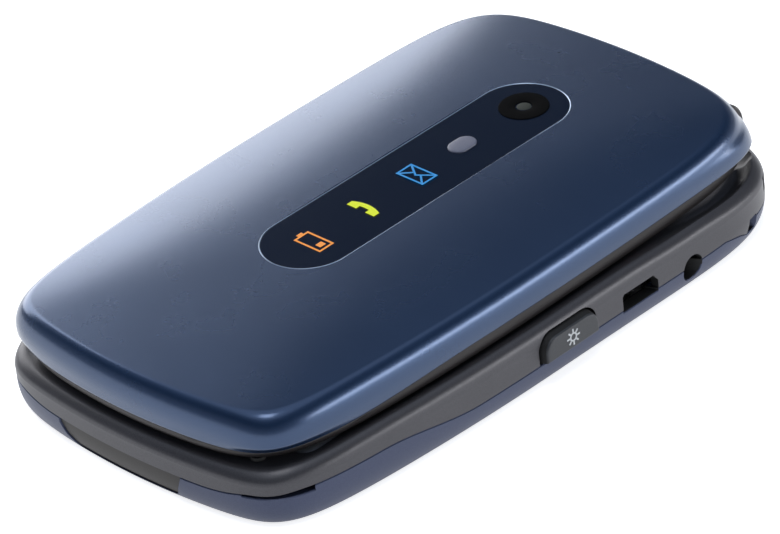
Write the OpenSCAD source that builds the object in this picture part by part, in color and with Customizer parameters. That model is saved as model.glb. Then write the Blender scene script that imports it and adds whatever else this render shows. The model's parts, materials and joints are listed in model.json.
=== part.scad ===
// Clamshell phone, lying closed on its rear cover.
// +Z is up, +Y points to the hinge end, +X is the side with the sockets.
// The origin is the middle of the resting face. Millimetres.

/* [Body] */
// Length of the base, free end to hinge end
base_l = 107.2; // [106:0.1:108]
// Width of the base across its middle
base_w = 63; // [62:0.1:64]
// Thickness of the closed phone
body_h = 18.6; // [18.4:0.1:19]
// Height of the joint face between the lid and the base
joint_z = 9.6; // [9.5:0.1:9.7]
// Height of the keypad deck
deck_z = 9; // [8.9:0.1:9.1]
// Wall of the base shells
base_wall = 1.2; // [1.1:0.1:1.4]

/* [Lid] */
// Length of the lid
lid_l = 104.2; // [103.8:0.1:104.4]
// Width of the lid across its middle
lid_w = 59.4; // [59:0.1:59.8]
// How far the lid's middle lies towards the free end
lid_shift = 0.8; // [0.6:0.1:1]
// Fall of the crown from the middle to the rim
lid_crown = 1.4; // [1:0.1:1.6]
// Radius of the rim round the crown
lid_rim_r = 2.2; // [2:0.1:2.4]
// Wall of the lid shell
lid_wall = 1.1; // [1:0.1:1.3]

/* [Hinge] */
// Distance of the hinge axis from the middle of the phone
hinge_y = 45.8; // [45.6:0.1:46]
// Height of the hinge axis
hinge_z = 12.6; // [12.5:0.1:12.7]
// Half length of the knuckle on the base
knuckle_half = 13; // [12:0.5:13]
// Radius of the knuckle on the base
knuckle_r = 4.2; // [4.1:0.1:4.3]
// Half width over the two arms of the lid
arm_reach = 22; // [21:0.5:22]

/* [Window] */
// Length of the round-ended window in the lid
window_l = 57.2; // [56:0.2:58]
// Width of the window
window_w = 14.2; // [13.8:0.1:14.6]
// Middle of the window along the phone
window_y = 6.2; // [6:0.1:6.4]
// Middle of the camera along the phone
camera_y = 28.1; // [27.8:0.1:28.4]
// Radius of the camera's bezel
camera_r = 3.7; // [3.5:0.1:3.8]
// Middle of the lamp along the phone
lamp_y = 15.4; // [15:0.1:16]

/* [Keypad] */
// Pitch of the digit keys across the phone
key_pitch_x = 17.8; // [17.4:0.1:18]
// Pitch of the digit keys along the phone
key_pitch_y = 14; // [13.6:0.1:14]
// Size of a digit key across the phone
key_w = 16; // [15:0.1:16.4]
// Size of a digit key along the phone
key_l = 11.8; // [11:0.1:12]
// Play between a key and its opening
key_gap = 0.25; // [0.2:0.05:0.3]
// Middle of the navigation ring along the phone
nav_y = 27.4; // [27:0.1:27.6]

/* [Sockets] */
// Middle of the side button along the phone
side_button_y = 1.8; // [1.5:0.1:2.2]
// Middle of the charging socket along the phone
usb_y = 16.5; // [16:0.1:17]
// Middle of the headphone jack along the phone
jack_y = 27.3; // [27:0.1:27.6]
// Height of the headphone jack
jack_z = 3.5; // [3.4:0.05:3.6]
// Radius of the jack's bore
jack_r = 1.8; // [1.75:0.01:1.8]

/* [Hidden] */

$fn = 48;
far = 80;
base_half_l = base_l/2;
base_half_w = base_w/2;
lid_half_l = lid_l/2;
lid_half_w = lid_w/2;

// An outline is a superellipse whose sides and ends bow outwards:
// [half width, half length, corner power at the free end and at the hinge end,
//  side taper towards each end, bow of each end, middle along Y]
base_outline = [base_half_w, base_half_l, 11.2, 7.5, 0.106, -0.02, 0.059, 0.097, 0];
lid_outline = [lid_half_w, lid_half_l, 13.6, 8.2, 0.092, 0.038, 0.064, 0.06, -lid_shift];
lid_low_power = [10, 14];   // corner powers of the lid's lower edge
outline_steps = 12;
bottom_fillet_w = 1.93;     // the bottom edge is a quarter ellipse
bottom_fillet_h = 4.7;
window_floor = 17.25;
lid_floor_t = 1.1;          // plate of the lid frame round the display
tail_gap = 0.3;             // room round the lid's tail in the base
open_angle = 155;
web_from = 216;             // web that carries the base's knuckle, degrees from +Y
web_to = 234;
notch_angle = 32;           // edge of the lid's notch round the knuckle
board_z = 5.2;
board_t = 0.8;
key_top = 9.35;
key_low = 7.05;
key_flange = 0.6;
key_travel = 0.35;
plunger_z = 6.67;
dome_z = 6.12;
digit_y = -37.5;             // lowest row of digits
bay = [34.6, 47];           // battery bay
bay_y = -21;
button_out = 1;             // how far the side keys stand out

function ramp(t) = let (c = max(0, min(1, t))) c*c*(3 - 2*c);
function mix(a, b, t) = a + (b - a)*t;

// directions round an outline, closer together at its corners
function directions() = [for (q = [0:3], i = [-outline_steps:outline_steps - 1])
    45 + 90*q + 45*sign(i)*pow(abs(i)/outline_steps, 1.5)];
// A power above 0 is used as it is, and one from 0 to -1 shifts the outline's own powers
// to those of the lid's lower edge.
function spot(o, a, inset, power = 0, scale = 1) = let (
    c = cos(a), s = sin(a), back = s > 0,
    n = power > 0 ? power : mix(back ? o[3] : o[2], lid_low_power[back ? 1 : 0], -power),
    r = pow(pow(abs(c), n) + pow(abs(s), n), -1/n),
    x = r*c, y = r*s)
    [scale*(o[0] - inset)*x*(1 - (back ? o[5] : o[4])*y*y),
     scale*(o[1] - inset)*y*(1 - (back ? o[7] : o[6])*x*x) + o[8]];
function flat_ring(o, inset, power = 0) = [for (a = directions()) spot(o, a, inset, power)];
function ring(o, inset, z, power = 0, scale = 1) =
    [for (a = directions()) let (p = spot(o, a, inset, power, scale)) [p.x, p.y, z]];

// closed skin through rings that run from the top face outwards and down
module loft(rings) {
    n = len(rings[0]);
    last = len(rings) - 1;
    points = [for (r = rings) each r];
    sides = [for (i = [0:last - 1], j = [0:n - 1]) let (
        a = i*n + j, b = i*n + (j + 1) % n, c = b + n, d = a + n) each [[a, b, c], [a, c, d]]];
    top = [[for (j = [n - 1:-1:0]) j]];
    bottom = [[for (j = [0:n - 1]) last*n + j]];
    polyhedron(points = points, faces = concat(top, sides, bottom));
}

module slab(o, inset, z0, z1, power = 0) {
    translate([0, 0, z0]) linear_extrude(z1 - z0) polygon(flat_ring(o, inset, power));
}

// block between two heights with rounded vertical corners, centred in X and Y
module rounded_block(size, r, z0, z1) {
    translate([0, 0, z0]) linear_extrude(z1 - z0) {
        square([size.x - 2*r, size.y], center = true);
        square([size.x, size.y - 2*r], center = true);
        for (x = [-1, 1], y = [-1, 1])
            translate([x*(size.x/2 - r), y*(size.y/2 - r)]) circle(r);
    }
}

module stadium(length, width, z0, z1) {
    translate([0, 0, z0]) linear_extrude(z1 - z0) {
        square([width, length - width], center = true);
        for (s = [-1, 1]) translate([0, s*(length - width)/2]) circle(width/2);
    }
}

// shape drawn in the Y-Z plane and extruded from x0 to x1
module across(x0, x1) {
    translate([x0, 0, 0]) rotate([90, 0, 90]) linear_extrude(x1 - x0) children();
}

// cylinder along X on the hinge axis
module on_axis(r, x0, x1) {
    translate([x0, hinge_y, hinge_z]) rotate([0, 90, 0]) cylinder(r = r, h = x1 - x0);
}

// ---- side-view curves ----
// lower edge of the lid cover: it rises from the free end to the middle
function cover_edge(y) = 11.25 + 0.95*ramp((y + 40)/28);
// edge of the rear cover: high at the free end's corners, dipped at the strap corner
function rear_edge(y) = 3.8 + 2*ramp((-15 - y)/18) - 0.4*ramp((-46 - y)/5)
    - 0.8*ramp((-51.2 - y)/1.6);
edge_steps = 36;
function side_curve(f_low, f_high, pick, lift) = [for (i = [0:edge_steps])
    let (y = mix(f_low, f_high, i/edge_steps)) [y, (pick == 0 ? cover_edge(y) : rear_edge(y)) + lift]];

module above_curve(pick, lift) {
    across(-far, far) polygon(concat(side_curve(-56, 56, pick, lift), [[56, far], [-56, far]]));
}
module below_curve(pick, lift) {
    across(-far, far) polygon(concat(side_curve(-56, 56, pick, lift), [[56, -far], [-56, -far]]));
}

// ---- outer forms ----
function bottom_inset(z) = z >= bottom_fillet_h ? 0
    : bottom_fillet_w*(1 - sqrt(1 - pow(1 - z/bottom_fillet_h, 2)));
ridge_z = 9.5;
// the top edge is softer and lower towards both ends
function top_drop(y) = 0.5*ramp((-y - 30)/20) + 0.4*ramp((-y - 46)/6)
    + 0.25*ramp((y - 14)/12) + 0.5*ramp((y - 28)/14);
// groove between the edge and the deck, deeper towards the hinge
function groove(y) = 1.1*ramp((y - 20)/18);
function top_ring(inset, z, share, dip = 0) = [for (a = directions())
    let (p = spot(base_outline, a, inset)) [p.x, p.y, z - share*top_drop(p.y) - dip*groove(p.y)]];

upper_z = 7.4;              // the side is upright from here down to the bottom edge
function lower_rings(shrink) = concat(
    [for (z = [bottom_fillet_h, 3, 1.8, 1, 0.45, 0.12])
        ring(base_outline, bottom_inset(z) + shrink, z)],
    [ring(base_outline, bottom_fillet_w + shrink, 0)]);
module base_form() {
    loft(concat(
        [ring(base_outline, 4.3, deck_z)],
        [top_ring(3.3, 9, 0.2, 1), top_ring(2.3, 9.25, 0.7, 0.75),
         top_ring(1.5, ridge_z, 1), top_ring(1, 9.36, 1),
         top_ring(0.5, 8.95, 1), top_ring(0.16, 8.3, 0.8),
         top_ring(0, upper_z, 0.4)],
        lower_rings(0)));
}
// the same form without its top edge
module base_low(shrink = 0) {
    loft(concat([ring(base_outline, shrink, upper_z)], lower_rings(shrink)));
}

function crown_z(f) = body_h - lid_crown*pow(f, 3);
module lid_form() {
    rim = lid_rim_r;
    loft(concat(
        [for (f = [0.25, 0.42, 0.58, 0.72, 0.84, 0.93])
            ring(lid_outline, rim, crown_z(f), mix(2.4, 11, f*f), f)],
        [for (a = [78, 60, 42, 24, 8])
            ring(lid_outline, rim*(1 - cos(a)), crown_z(1) - rim*(1 - sin(a)))],
        [ring(lid_outline, 0, 13.8, -0.3), ring(lid_outline, 0.1, 12.4, -0.7),
         ring(lid_outline, 0.2, 11, -1)]));
}

// ---- lid ----
module lid_notch(r) {
    half = knuckle_half + 0.3;
    on_axis(r, -half, half);
    across(-half, half) polygon([for (q = [[0, 0], [notch_angle, 20], [-60, 30], [-120, 30],
        [notch_angle - 180, 20]]) [hinge_y + q[1]*cos(q[0]), hinge_z + q[1]*sin(q[0])]]);
}

module lid_cover() {
    color("steelblue") difference() {
        union() {
            difference() {
                intersection() { lid_form(); above_curve(0, 0); }
                slab(lid_outline, 1.3, 10, 15.9);
                slab(lid_outline, 9, 15, 16.9);
            }
            translate([0, window_y, 0]) stadium(window_l + 3, window_w + 3, 16, 17.4);
        }
        translate([0, window_y, 0]) stadium(window_l, window_w, window_floor, far);
        translate([0, camera_y, 0]) cylinder(r = camera_r - 0.7, h = far);
        translate([0, lamp_y, 0]) stadium(3.6, 2.2, 10, far);
        for (y = lamp_spots()) translate([0, y, 10]) cylinder(r = 2, h = 9);
        intersection() {
            on_axis(knuckle_r + 0.1, -arm_reach - 0.1, arm_reach + 0.1);
            slab(lid_outline, 1.05, 0, 20);
        }
        lid_notch(knuckle_r + 0.3);
    }
}

function lamp_spots() = [for (i = [-1, 0, 1]) -4.9 + 10.4*i];

// crown inside the rim alone
module crown_form(lift) {
    outer = 0.84;
    loft(concat(
        [for (f = [0.25, 0.42, 0.58, 0.72, outer])
            ring(lid_outline, lid_rim_r, crown_z(f) + lift, mix(2.4, 11, f*f), f)],
        [ring(lid_outline, lid_rim_r, window_floor - 1, mix(2.4, 11, outer*outer), outer)]));
}

module indicator_window() {
    color("midnightblue") difference() {
        intersection() {
            translate([0, window_y, 0]) stadium(window_l - 0.1, window_w - 0.1, window_floor, 20);
            crown_form(-0.04);
        }
        translate([0, camera_y, 0]) cylinder(r = camera_r, h = far);
        translate([0, lamp_y, 0]) stadium(4.6, 3.2, 10, far);
    }
}

module camera_bezel() {
    color("black") translate([0, camera_y, window_floor]) difference() {
        cylinder(r = camera_r - 0.03, h = 0.95);
        translate([0, 0, -1]) cylinder(r = 1.9, h = 4);
        translate([0, 0, 0.45]) cylinder(r1 = 1.9, r2 = 3, h = 0.51);
    }
}

module camera_lens() {
    color("dimgray") translate([0, camera_y, 0]) intersection() {
        translate([0, 0, 16.9]) cylinder(r = 1.86, h = 2);
        translate([0, 0, 17.75 - 6]) sphere(r = 6);
    }
}

module camera_module() {
    color("darkgreen") translate([0, camera_y, 0]) {
        rounded_block([7.6, 7.6], 0.5, 13.5, 15.6);
        translate([0, 0, 15.5]) cylinder(r = 2.7, h = 1.3);
    }
}

module lamp_lens() {
    color("lavender") translate([0, lamp_y, 0]) {
        stadium(4.54, 3.14, window_floor, body_h - 0.08);
        stadium(3.5, 2.1, window_floor - 0.65, window_floor + 0.2);
    }
}

module indicator_lamps() {
    color("gold") for (y = lamp_spots())
        translate([-0.9, y - 0.5, 13.5]) cube([1.8, 1, 0.7]);
}

// frame of the display side, with the two arms that hold the hinge
module lid_frame() {
    tail_r = 5.7;
    low_power = 8;
    color("dimgray") difference() {
        union() {
            intersection() {
                difference() {
                    union() {
                        intersection() {
                            loft([ring(lid_outline, 0.45, 12.8, 9.5),
                                ring(lid_outline, 0.5, 10.4, low_power),
                                ring(lid_outline, 0.8, 9.85, low_power),
                                ring(lid_outline, 1.3, joint_z, low_power)]);
                            below_curve(0, -0.06);
                        }
                        slab(lid_outline, 1.4, 10, 13.2, low_power);
                    }
                    slab(lid_outline, 2.5, joint_z + lid_floor_t, 20);
                }
                union() {
                    across(-far, far) polygon([[-far, 0], [hinge_y, 0], [hinge_y, far], [-far, far]]);
                    on_axis(tail_r, -far, far);
                }
            }
            intersection() {
                on_axis(knuckle_r, -arm_reach, arm_reach);
                slab(lid_outline, 1.1, 0, 20);
            }
        }
        // recess of the glass, display opening and earpiece slot
        translate([0, glass_y, 0]) rounded_block([glass.x + 0.2, glass.y + 0.2], 3, 9, glass_top);
        translate([0, panel_y, 0]) rounded_block([panel.x + 0.3, panel.y + 0.3], 0.6, 9, 12);
        translate([0, earpiece_y, 0]) rounded_block([11, 1.8], 0.88, 9, 12);
        lid_notch(knuckle_r + 0.3);
        on_axis(2.92, -18.1, -knuckle_half);
        on_axis(1.8, -arm_reach - 1, -18);
        on_axis(1.25, knuckle_half, arm_reach + 1);
        translate([arm_reach - 4, hinge_y - 1.5, hinge_z - 1.5]) cube([5, 3, 3]);
    }
}
glass = [50, 66];
glass_y = -9.5;
glass_top = 10.4;
panel = [41, 52];
panel_y = -10;
earpiece_y = -46.5;

module display_glass() {
    color("black") translate([0, glass_y, 0]) rounded_block(glass, 2.9, joint_z + 0.08, glass_top - 0.02);
}

module display_panel() {
    color("darkslategray") translate([0, panel_y, 0]) rounded_block(panel, 0.4, glass_top, 11.9);
}

module lid_board() {
    color("green") difference() {
        intersection() {
            slab(lid_outline, 4, 12.6, 13.4);
            translate([-far, -43, 0]) cube([2*far, 80, 20]);
        }
        for (s = [-1, 1]) translate([s*20, -34, 0]) cylinder(r = 1.2, h = 20);
    }
}

module earpiece() {
    color("black") translate([0, earpiece_y, 0]) {
        rounded_block([10.9, 1.7], 0.84, joint_z + 0.15, 10.8);
        rounded_block([13, 5], 1, 10.72, 12.9);
    }
}

bumper_spots = [[-21, -47.6], [21, -47.6], [-22, 40], [22, 40]];
module lid_bumpers() {
    color("black") for (p = bumper_spots)
        translate([p.x, p.y, deck_z + 0.1]) cylinder(r = 1.1, h = joint_z - deck_z - 0.1);
}

// ---- hinge ----
module hinge_bush() {
    color("silver") difference() {
        on_axis(2.9, -18, -4);
        on_axis(2.2, -arm_reach, -3);
    }
}

module hinge_can() {
    color("silver") difference() {
        on_axis(2.98, 1, knuckle_half - 0.1);
        on_axis(2.5, 1.6, knuckle_half + 1);
    }
}

module hinge_shaft() {
    color("gainsboro") {
        on_axis(0.9, 1.7, 12);
        on_axis(2.42, 9.4, 11.9);
        on_axis(1.2, 11.8, 18.2);
        translate([18, hinge_y - 1.45, hinge_z - 1.45]) cube([3.6, 2.9, 2.9]);
    }
}

module hinge_follower() {
    color("gray") difference() {
        union() {
            on_axis(2.42, 7.2, 8.8);
            intersection() {
                on_axis(2.42, 8.7, 9.3);
                translate([8, hinge_y - 0.7, hinge_z - 3]) cube([2, 1.4, 6]);
            }
        }
        on_axis(1, 7, 10);
    }
}

spring_turns = 5;
spring_steps = 14;
function coil_point(t, across_r, wire_r, w) = let (
    a = 360*t, r = across_r + wire_r*cos(w))
    [mix(2, 6.9, t/spring_turns) + wire_r*sin(w), hinge_y + r*cos(a), hinge_z + r*sin(a)];
module hinge_spring() {
    sides = 5;
    rings = spring_turns*spring_steps;
    points = [for (i = [0:rings], k = [0:sides - 1])
        coil_point(i/spring_steps, 1.9, 0.28, 360*k/sides)];
    skin = [for (i = [0:rings - 1], k = [0:sides - 1]) let (
        a = i*sides + k, b = i*sides + (k + 1) % sides) each [[a, b + sides, b], [a, a + sides, b + sides]]];
    ends = [[for (k = [0:sides - 1]) k], [for (k = [sides - 1:-1:0]) rings*sides + k]];
    color("silver") polyhedron(points = points, faces = concat(skin, ends));
}

// ---- base ----
// farthest reach of the lid's rounded end from the hinge axis, where its end lies d past the axis
function tail_reach(d) = norm([d - lid_rim_r, body_h - lid_crown - lid_rim_r - hinge_z])
    + lid_rim_r + tail_gap;
tail_side = 20;
// distance from the axis that the lid's rounded corners need, by their place across the phone
corner_reach = [[21, 5.3], [22, 5.1], [24, 5], [24.6, 4.75], [25.1, 4.4], [25.6, 3.5]];
// room for the end of the lid as it turns
module tail_pocket() {
    ends = [for (a = directions()) let (p = spot(lid_outline, a, 0))
        if (p.y > hinge_y && abs(p.x) < tail_side) [tail_reach(p.y - hinge_y), p.x]];
    last = len(corner_reach) - 1;
    translate([0, hinge_y, hinge_z]) rotate([0, 90, 0]) rotate([0, 0, 90]) rotate_extrude($fn = 96)
        polygon(concat([[0, -corner_reach[last][0]]],
            [for (i = [last:-1:0]) [corner_reach[i][1], -corner_reach[i][0]]],
            [for (i = [len(ends) - 1:-1:0]) ends[i]],
            [for (c = corner_reach) [c[1], c[0]]], [[0, corner_reach[last][0]]]));
    // slope of the end wall along the opened lid, whose crown has fallen by most of its height here
    roof = body_h - 0.8*lid_crown - hinge_z + tail_gap;
    across(-corner_reach[0][0], corner_reach[0][0]) polygon([
        [hinge_y + roof*sin(open_angle), hinge_z + roof*cos(open_angle)],
        [hinge_y + roof*sin(open_angle) - 20*cos(open_angle), hinge_z + roof*cos(open_angle) + 20*sin(open_angle)],
        [hinge_y, hinge_z + 12]]);
}

module knuckle() {
    on_axis(knuckle_r, -knuckle_half, knuckle_half);
    across(-knuckle_half, knuckle_half) polygon([for (q = [[web_from, 3.2], [web_from, 6.4],
        [web_from + 4, 7.8], [web_to + 2, 8], [web_to, 6.3], [web_to, 3.2]])
        [hinge_y + q[1]*cos(q[0]), hinge_z + q[1]*sin(q[0])]]);
}

module front_housing() {
    color("gray") difference() {
        union() {
            difference() {
                intersection() {
                    base_form();
                    union() {
                        above_curve(1, 0.03);
                        strap_dip(0.03, 40.2);
                    }
                }
                difference() {
                    slab(base_outline, base_wall + 0.2, 0, deck_z - 1.2);
                    translate([-far, hinge_block_y, 5.1]) cube([2*far, far, far]);
                    difference() {
                        translate([-far, 24, 6.3]) cube([2*far, far, far]);
                        slab(base_outline, 3.9, 0, far);
                    }
                }
                tail_pocket();
            }
            knuckle();
            intersection() {
                for (p = [screw_spots[0], screw_spots[1]])
                    translate([p.x, p.y, 5.05]) cylinder(r = 1.7, h = 3);
                slab(base_outline, 0.7, 0, deck_z);
            }
        }
        on_axis(3, -knuckle_half - 1, knuckle_half + 1);
        key_openings();
        button_opening();
        mirror([1, 0, 0]) rocker_opening();
        usb_opening();
        jack_opening();
        strap_channel();
        for (x = [-1.2, 1.2]) translate([x, -47.5, 0]) cylinder(r = 0.45, h = 20, $fn = 16);
        for (p = screw_spots) translate([p.x, p.y, 0]) cylinder(r = 0.7, h = 7.2);
    }
}
hinge_block_y = 39.6;

// an outline that is straight below and round above
module d_shape(y0, y1, z0, z1, r) {
    intersection() {
        union() {
            translate([y0, z0 - 5]) square([y1 - y0, z1 - r - z0 + 5]);
            translate([y0 + r, z1 - r - 1]) square([y1 - y0 - 2*r, r + 1]);
            for (y = [y0 + r, y1 - r]) translate([y, z1 - r]) circle(r);
        }
        translate([y0, z0]) square([y1 - y0, z1 - z0]);
    }
}
module button_opening() {
    across(28, 34) d_shape(side_button_y - 5.9, side_button_y + 5.7, 3.7, 8.4, 2.6);
}
module side_button() {
    color("dimgray") {
        across(29.2, base_half_w + button_out)
            d_shape(side_button_y - 5.5, side_button_y + 5.5, 3.9, 8.1, 2.4);
        across(28.7, 29.7) d_shape(side_button_y - 6.7, side_button_y + 6.7, 3.9, 7.6, 1);
    }
}
rocker_y = 6;
module rocker_opening() {
    across(28, 34) d_shape(rocker_y - 10.5, rocker_y + 10.5, 4.1, 7.9, 1.6);
}
module volume_rocker() {
    color("dimgray") mirror([1, 0, 0]) {
        across(29.2, base_half_w + button_out) d_shape(rocker_y - 9.9, rocker_y + 9.9, 4.5, 7.5, 1.4);
        across(28.5, 29.6) d_shape(rocker_y - 10.8, rocker_y + 10.8, 4.5, 7.3, 1);
    }
}
module usb_opening() {
    across(29, 34) polygon([[usb_y - 3.6, 3.3], [usb_y + 3.6, 3.3], [usb_y + 3.6, 5.3],
        [usb_y + 2.7, 6.4], [usb_y - 3.3, 6.4], [usb_y - 3.6, 6]]);
}
module jack_opening() {
    translate([28, jack_y, jack_z]) rotate([0, 90, 0]) cylinder(r1 = 1.85, r2 = 2.07, h = 8);
}
// the strap goes in at the side and comes out at the hinge end
module strap_channel() {
    translate([26.2, 40.3, 1.8]) cube([2.3, 5.6, 5.1]);
    translate([26.2, 40.3, 1.8]) cube([8, 1.9, 2.4]);
    translate([26.2, 44.6, 5.3]) rotate([0, 0, 47]) translate([0, -1, 0]) cube([8, 1.8, 2.2]);
}

module usb_shell() {
    color("silver") difference() {
        across(23.5, 29.3) polygon([[usb_y - 3.75, 3.1], [usb_y + 3.75, 3.1], [usb_y + 3.75, 4.6],
            [usb_y + 3, 5.95], [usb_y - 3, 5.95], [usb_y - 3.75, 4.6]]);
        across(24, 31) polygon([[usb_y - 3.45, 3.4], [usb_y + 3.45, 3.4], [usb_y + 3.45, 4.5],
            [usb_y + 2.85, 5.65], [usb_y - 2.85, 5.65], [usb_y - 3.45, 4.5]]);
    }
}
module usb_tongue() {
    color("black") translate([24, usb_y - 1.8, 4.6]) cube([4.6, 3.6, 0.65]);
}
module audio_jack() {
    color("black") difference() {
        union() {
            translate([15.6, jack_y - 3, 1.15]) cube([12.4, 6, 4.8]);
            translate([27.9, jack_y, jack_z]) rotate([0, 90, 0]) cylinder(r = 2.2, h = 1.45);
        }
        translate([16.6, jack_y, jack_z]) rotate([0, 90, 0]) cylinder(r = jack_r, h = 20);
    }
}
// outline of the cut-out in the rear cover's free end, drawn in X and Z
module end_window(gap, top) {
    polygon([[-13.4 + gap, top], [-13.4 + gap, 4], [-12.4 + gap, 2.2], [-10.6, 0.8 + gap],
        [9.4, 0.8 + gap], [10.2 - gap, 3], [10.8 - gap, 4.4], [10.8 - gap, top]]);
}

module rear_housing() {
    color("dimgray") difference() {
        union() {
            slab(base_outline, 2.2, 1.15, 5);
            // bridge that shows in the rear cover's cut-out
            intersection() {
                across_y(-60, -50.2) end_window(0.15, 4.5);
                union() {
                    intersection() {
                        base_low(0.3);
                        translate([-far, -60, 0]) cube([2*far, 8.3, 9]);
                    }
                    translate([-far, -51.8, 1.2]) cube([2*far, 2, 9]);
                }
            }
        }
        translate([0, bay_y, 0]) rounded_block(bay, 1.5, 0, 9);
        intersection() {
            slab(base_outline, 3.6, 2, 9);
            union() {
                translate([-far, 4.5, 0]) cube([2*far, 33.5, 9]);
                for (s = [-1, 1]) translate([s > 0 ? bay.x/2 + 1.2 : -bay.x/2 - 1.2 - 12, -42, 0])
                    cube([12, 44, 9]);
            }
        }
        for (x = contact_x) translate([x - 0.8, bay_top - 0.5, 2.1]) cube([1.6, 1.9, 9]);
        translate([speaker_x, speaker_y, 0]) cylinder(r = 7.6, h = 9);
        translate([0, sos_y, 0]) cylinder(r = 5.6, h = 9);
        translate([27, side_button_y - 7.4, 3.4]) cube([6, 14.8, 4]);
        mirror([1, 0, 0]) translate([27, rocker_y - 11.4, 3.4]) cube([6, 22.8, 4]);
        translate([23.2, usb_y - 4, 2.6]) cube([10, 8, 4]);
        translate([15.4, jack_y - 3.2, 1]) cube([20, 6.4, 5]);
        translate([26.2, 40.2, 1.8]) cube([6, 6, 6]);
        for (p = screw_spots) translate([p.x, p.y, 0]) cylinder(r = 0.85, h = 9);
        for (p = screw_spots) translate([p.x, p.y, 0]) cylinder(r = 1.7, h = 2.4);
    }
}
bay_top = bay_y + bay.y/2;
contact_x = [-4, 0, 4];
screw_spots = [[-21.3, -46.6], [21.3, -46.6], [-23.6, 42.2], [23.6, 42.2]];

module base_screws() {
    color("silver") for (p = screw_spots) translate([p.x, p.y, 0]) difference() {
        union() {
            translate([0, 0, 1.4]) cylinder(r = 1.5, h = 1);
            translate([0, 0, 2.3]) cylinder(r = 0.68, h = 4.6);
        }
        translate([-1.1, -0.2, 1]) cube([2.2, 0.4, 0.8]);
        translate([-0.2, -1.1, 1]) cube([0.4, 2.2, 0.8]);
    }
}

speaker_x = -15.5;
speaker_y = 30.5;
sos_y = 30.5;
module rear_cover() {
    color("slateblue") difference() {
        intersection() { base_low(); below_curve(1, 0); }
        slab(base_outline, 2.05, 1.05, 20);
        // cut-out at the free end and pry notch at the corner
        across_y(-60, -50) end_window(0, 9);
        translate([24.6, -48, 5]) rotate([0, 0, -45]) translate([-1, -5, 0]) cube([12, 10, 3]);
        // strap corner, sockets
        strap_dip(0, 42.4);
        across(29, 34) polygon([[usb_y - 3.6, 3.45], [usb_y + 3.6, 3.45], [usb_y + 3.6, 6], [usb_y - 3.6, 6]]);
        jack_opening();
        for (i = [-2:2]) translate([speaker_x, speaker_y + 2*i, -1])
            rounded_block([9, 0.9], 0.44, 0, 3);
        translate([0, sos_y, -1]) cylinder(r = 4.65, h = 4);
        translate([0, sos_y, -0.02]) cylinder(r1 = 6.4, r2 = 4.65, h = 0.5);
    }
}
module across_y(y0, y1) {
    translate([0, y1, 0]) rotate([90, 0, 0]) linear_extrude(y1 - y0) children();
}
// dip of the parting line beside the strap's hole
module strap_dip(lift, y_end) {
    across(28.3, 36) polygon([[34.5, 6], [34.5, 3.8 + lift], [38, 2.9 + lift], [40.2, 1.9 + lift],
        [y_end, 1.9 + lift], [y_end, 6]]);
}

module sos_button() {
    color("gray") translate([0, sos_y, 0]) {
        translate([0, 0, 0.5]) cylinder(r = 4.4, h = 1.2);
        translate([0, 0, 1.2]) cylinder(r = 5.2, h = 0.8);
        translate([0, 0, 1.6]) cylinder(r = 1.5, h = 2.9);
    }
}

module battery() {
    color("dimgray") translate([0, bay_y, 0]) rounded_block([bay.x - 0.5, bay.y - 1.6], 1.2, 1.25, 4.9);
}
module battery_contacts() {
    color("gold") for (x = contact_x) translate([x - 0.7, bay_top - 0.75, 2.2]) cube([1.4, 2, 2.6]);
}
module main_board() {
    color("green") difference() {
        intersection() {
            slab(base_outline, 3.8, board_z, board_z + board_t);
            translate([-far, -48, 0]) cube([2*far, 87, 20]);
        }
        for (p = screw_spots) translate([p.x, p.y, 0]) cylinder(r = 2, h = 20);
        translate([23, usb_y - 4, 0]) cube([10, 8, 9]);
        translate([15.4, jack_y - 3.2, 0]) cube([15, 6.4, 9]);
    }
}
module shield_can() {
    color("silver") difference() {
        translate([-3, 6, 2.3]) cube([19, 15, board_z - 2.3]);
        translate([-2.8, 6.2, 2.5]) cube([18.6, 14.6, 9]);
    }
}
module sim_holder() {
    color("silver") difference() {
        translate([-21, 6.3, 2.4]) cube([16, 15.4, 2.6]);
        translate([-20.6, 7, 2.7]) cube([15.2, 18, 1.1]);
    }
}
module loudspeaker() {
    color("black") translate([speaker_x, speaker_y, 0]) difference() {
        cylinder(r = 7.4, h = 4.9);
        translate([0, 0, -1]) cylinder(r = 10, h = 2.2);
        translate([0, 0, -4.4]) sphere(r = 7.4);
    }
}
module vibration_motor() {
    color("silver") translate([motor_x, -14, motor_z]) rotate([-90, 0, 0]) cylinder(r = 1.5, h = 9);
    color("silver") translate([motor_x, -17.5, motor_z]) rotate([-90, 0, 0]) cylinder(r = 0.4, h = 4);
}
module vibration_weight() {
    color("gray") translate([motor_x, -17.4, motor_z]) rotate([-90, 0, 0]) difference() {
        intersection() {
            cylinder(r = 1.5, h = 3);
            translate([-2, -0.6, 0]) cube([4, 4, 4]);
        }
        translate([0, 0, -1]) cylinder(r = 0.4, h = 6);
    }
}
motor_x = -23;
motor_z = 3.6;
module microphone() {
    color("gold") translate([-2.4, -49.4, 6.1]) cube([4.8, 3.6, 1.2]);
}

// ---- keys ----
digit_names = ["key_star", "key_0", "key_hash", "key_7", "key_8", "key_9", "key_4", "key_5", "key_6",
    "key_1", "key_2", "key_3"];
function digit_spot(i) = [(i % 3 - 1)*key_pitch_x, digit_y + floor(i/3)*key_pitch_y];
soft_spots = [[-19.6, 33.4], [19.6, 33.4]];
call_spots = [[-19.6, 21.4], [19.6, 21.4]];
soft_size = [13, 9];
nav_r = 9.2;
ok_r = 4.6;

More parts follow.
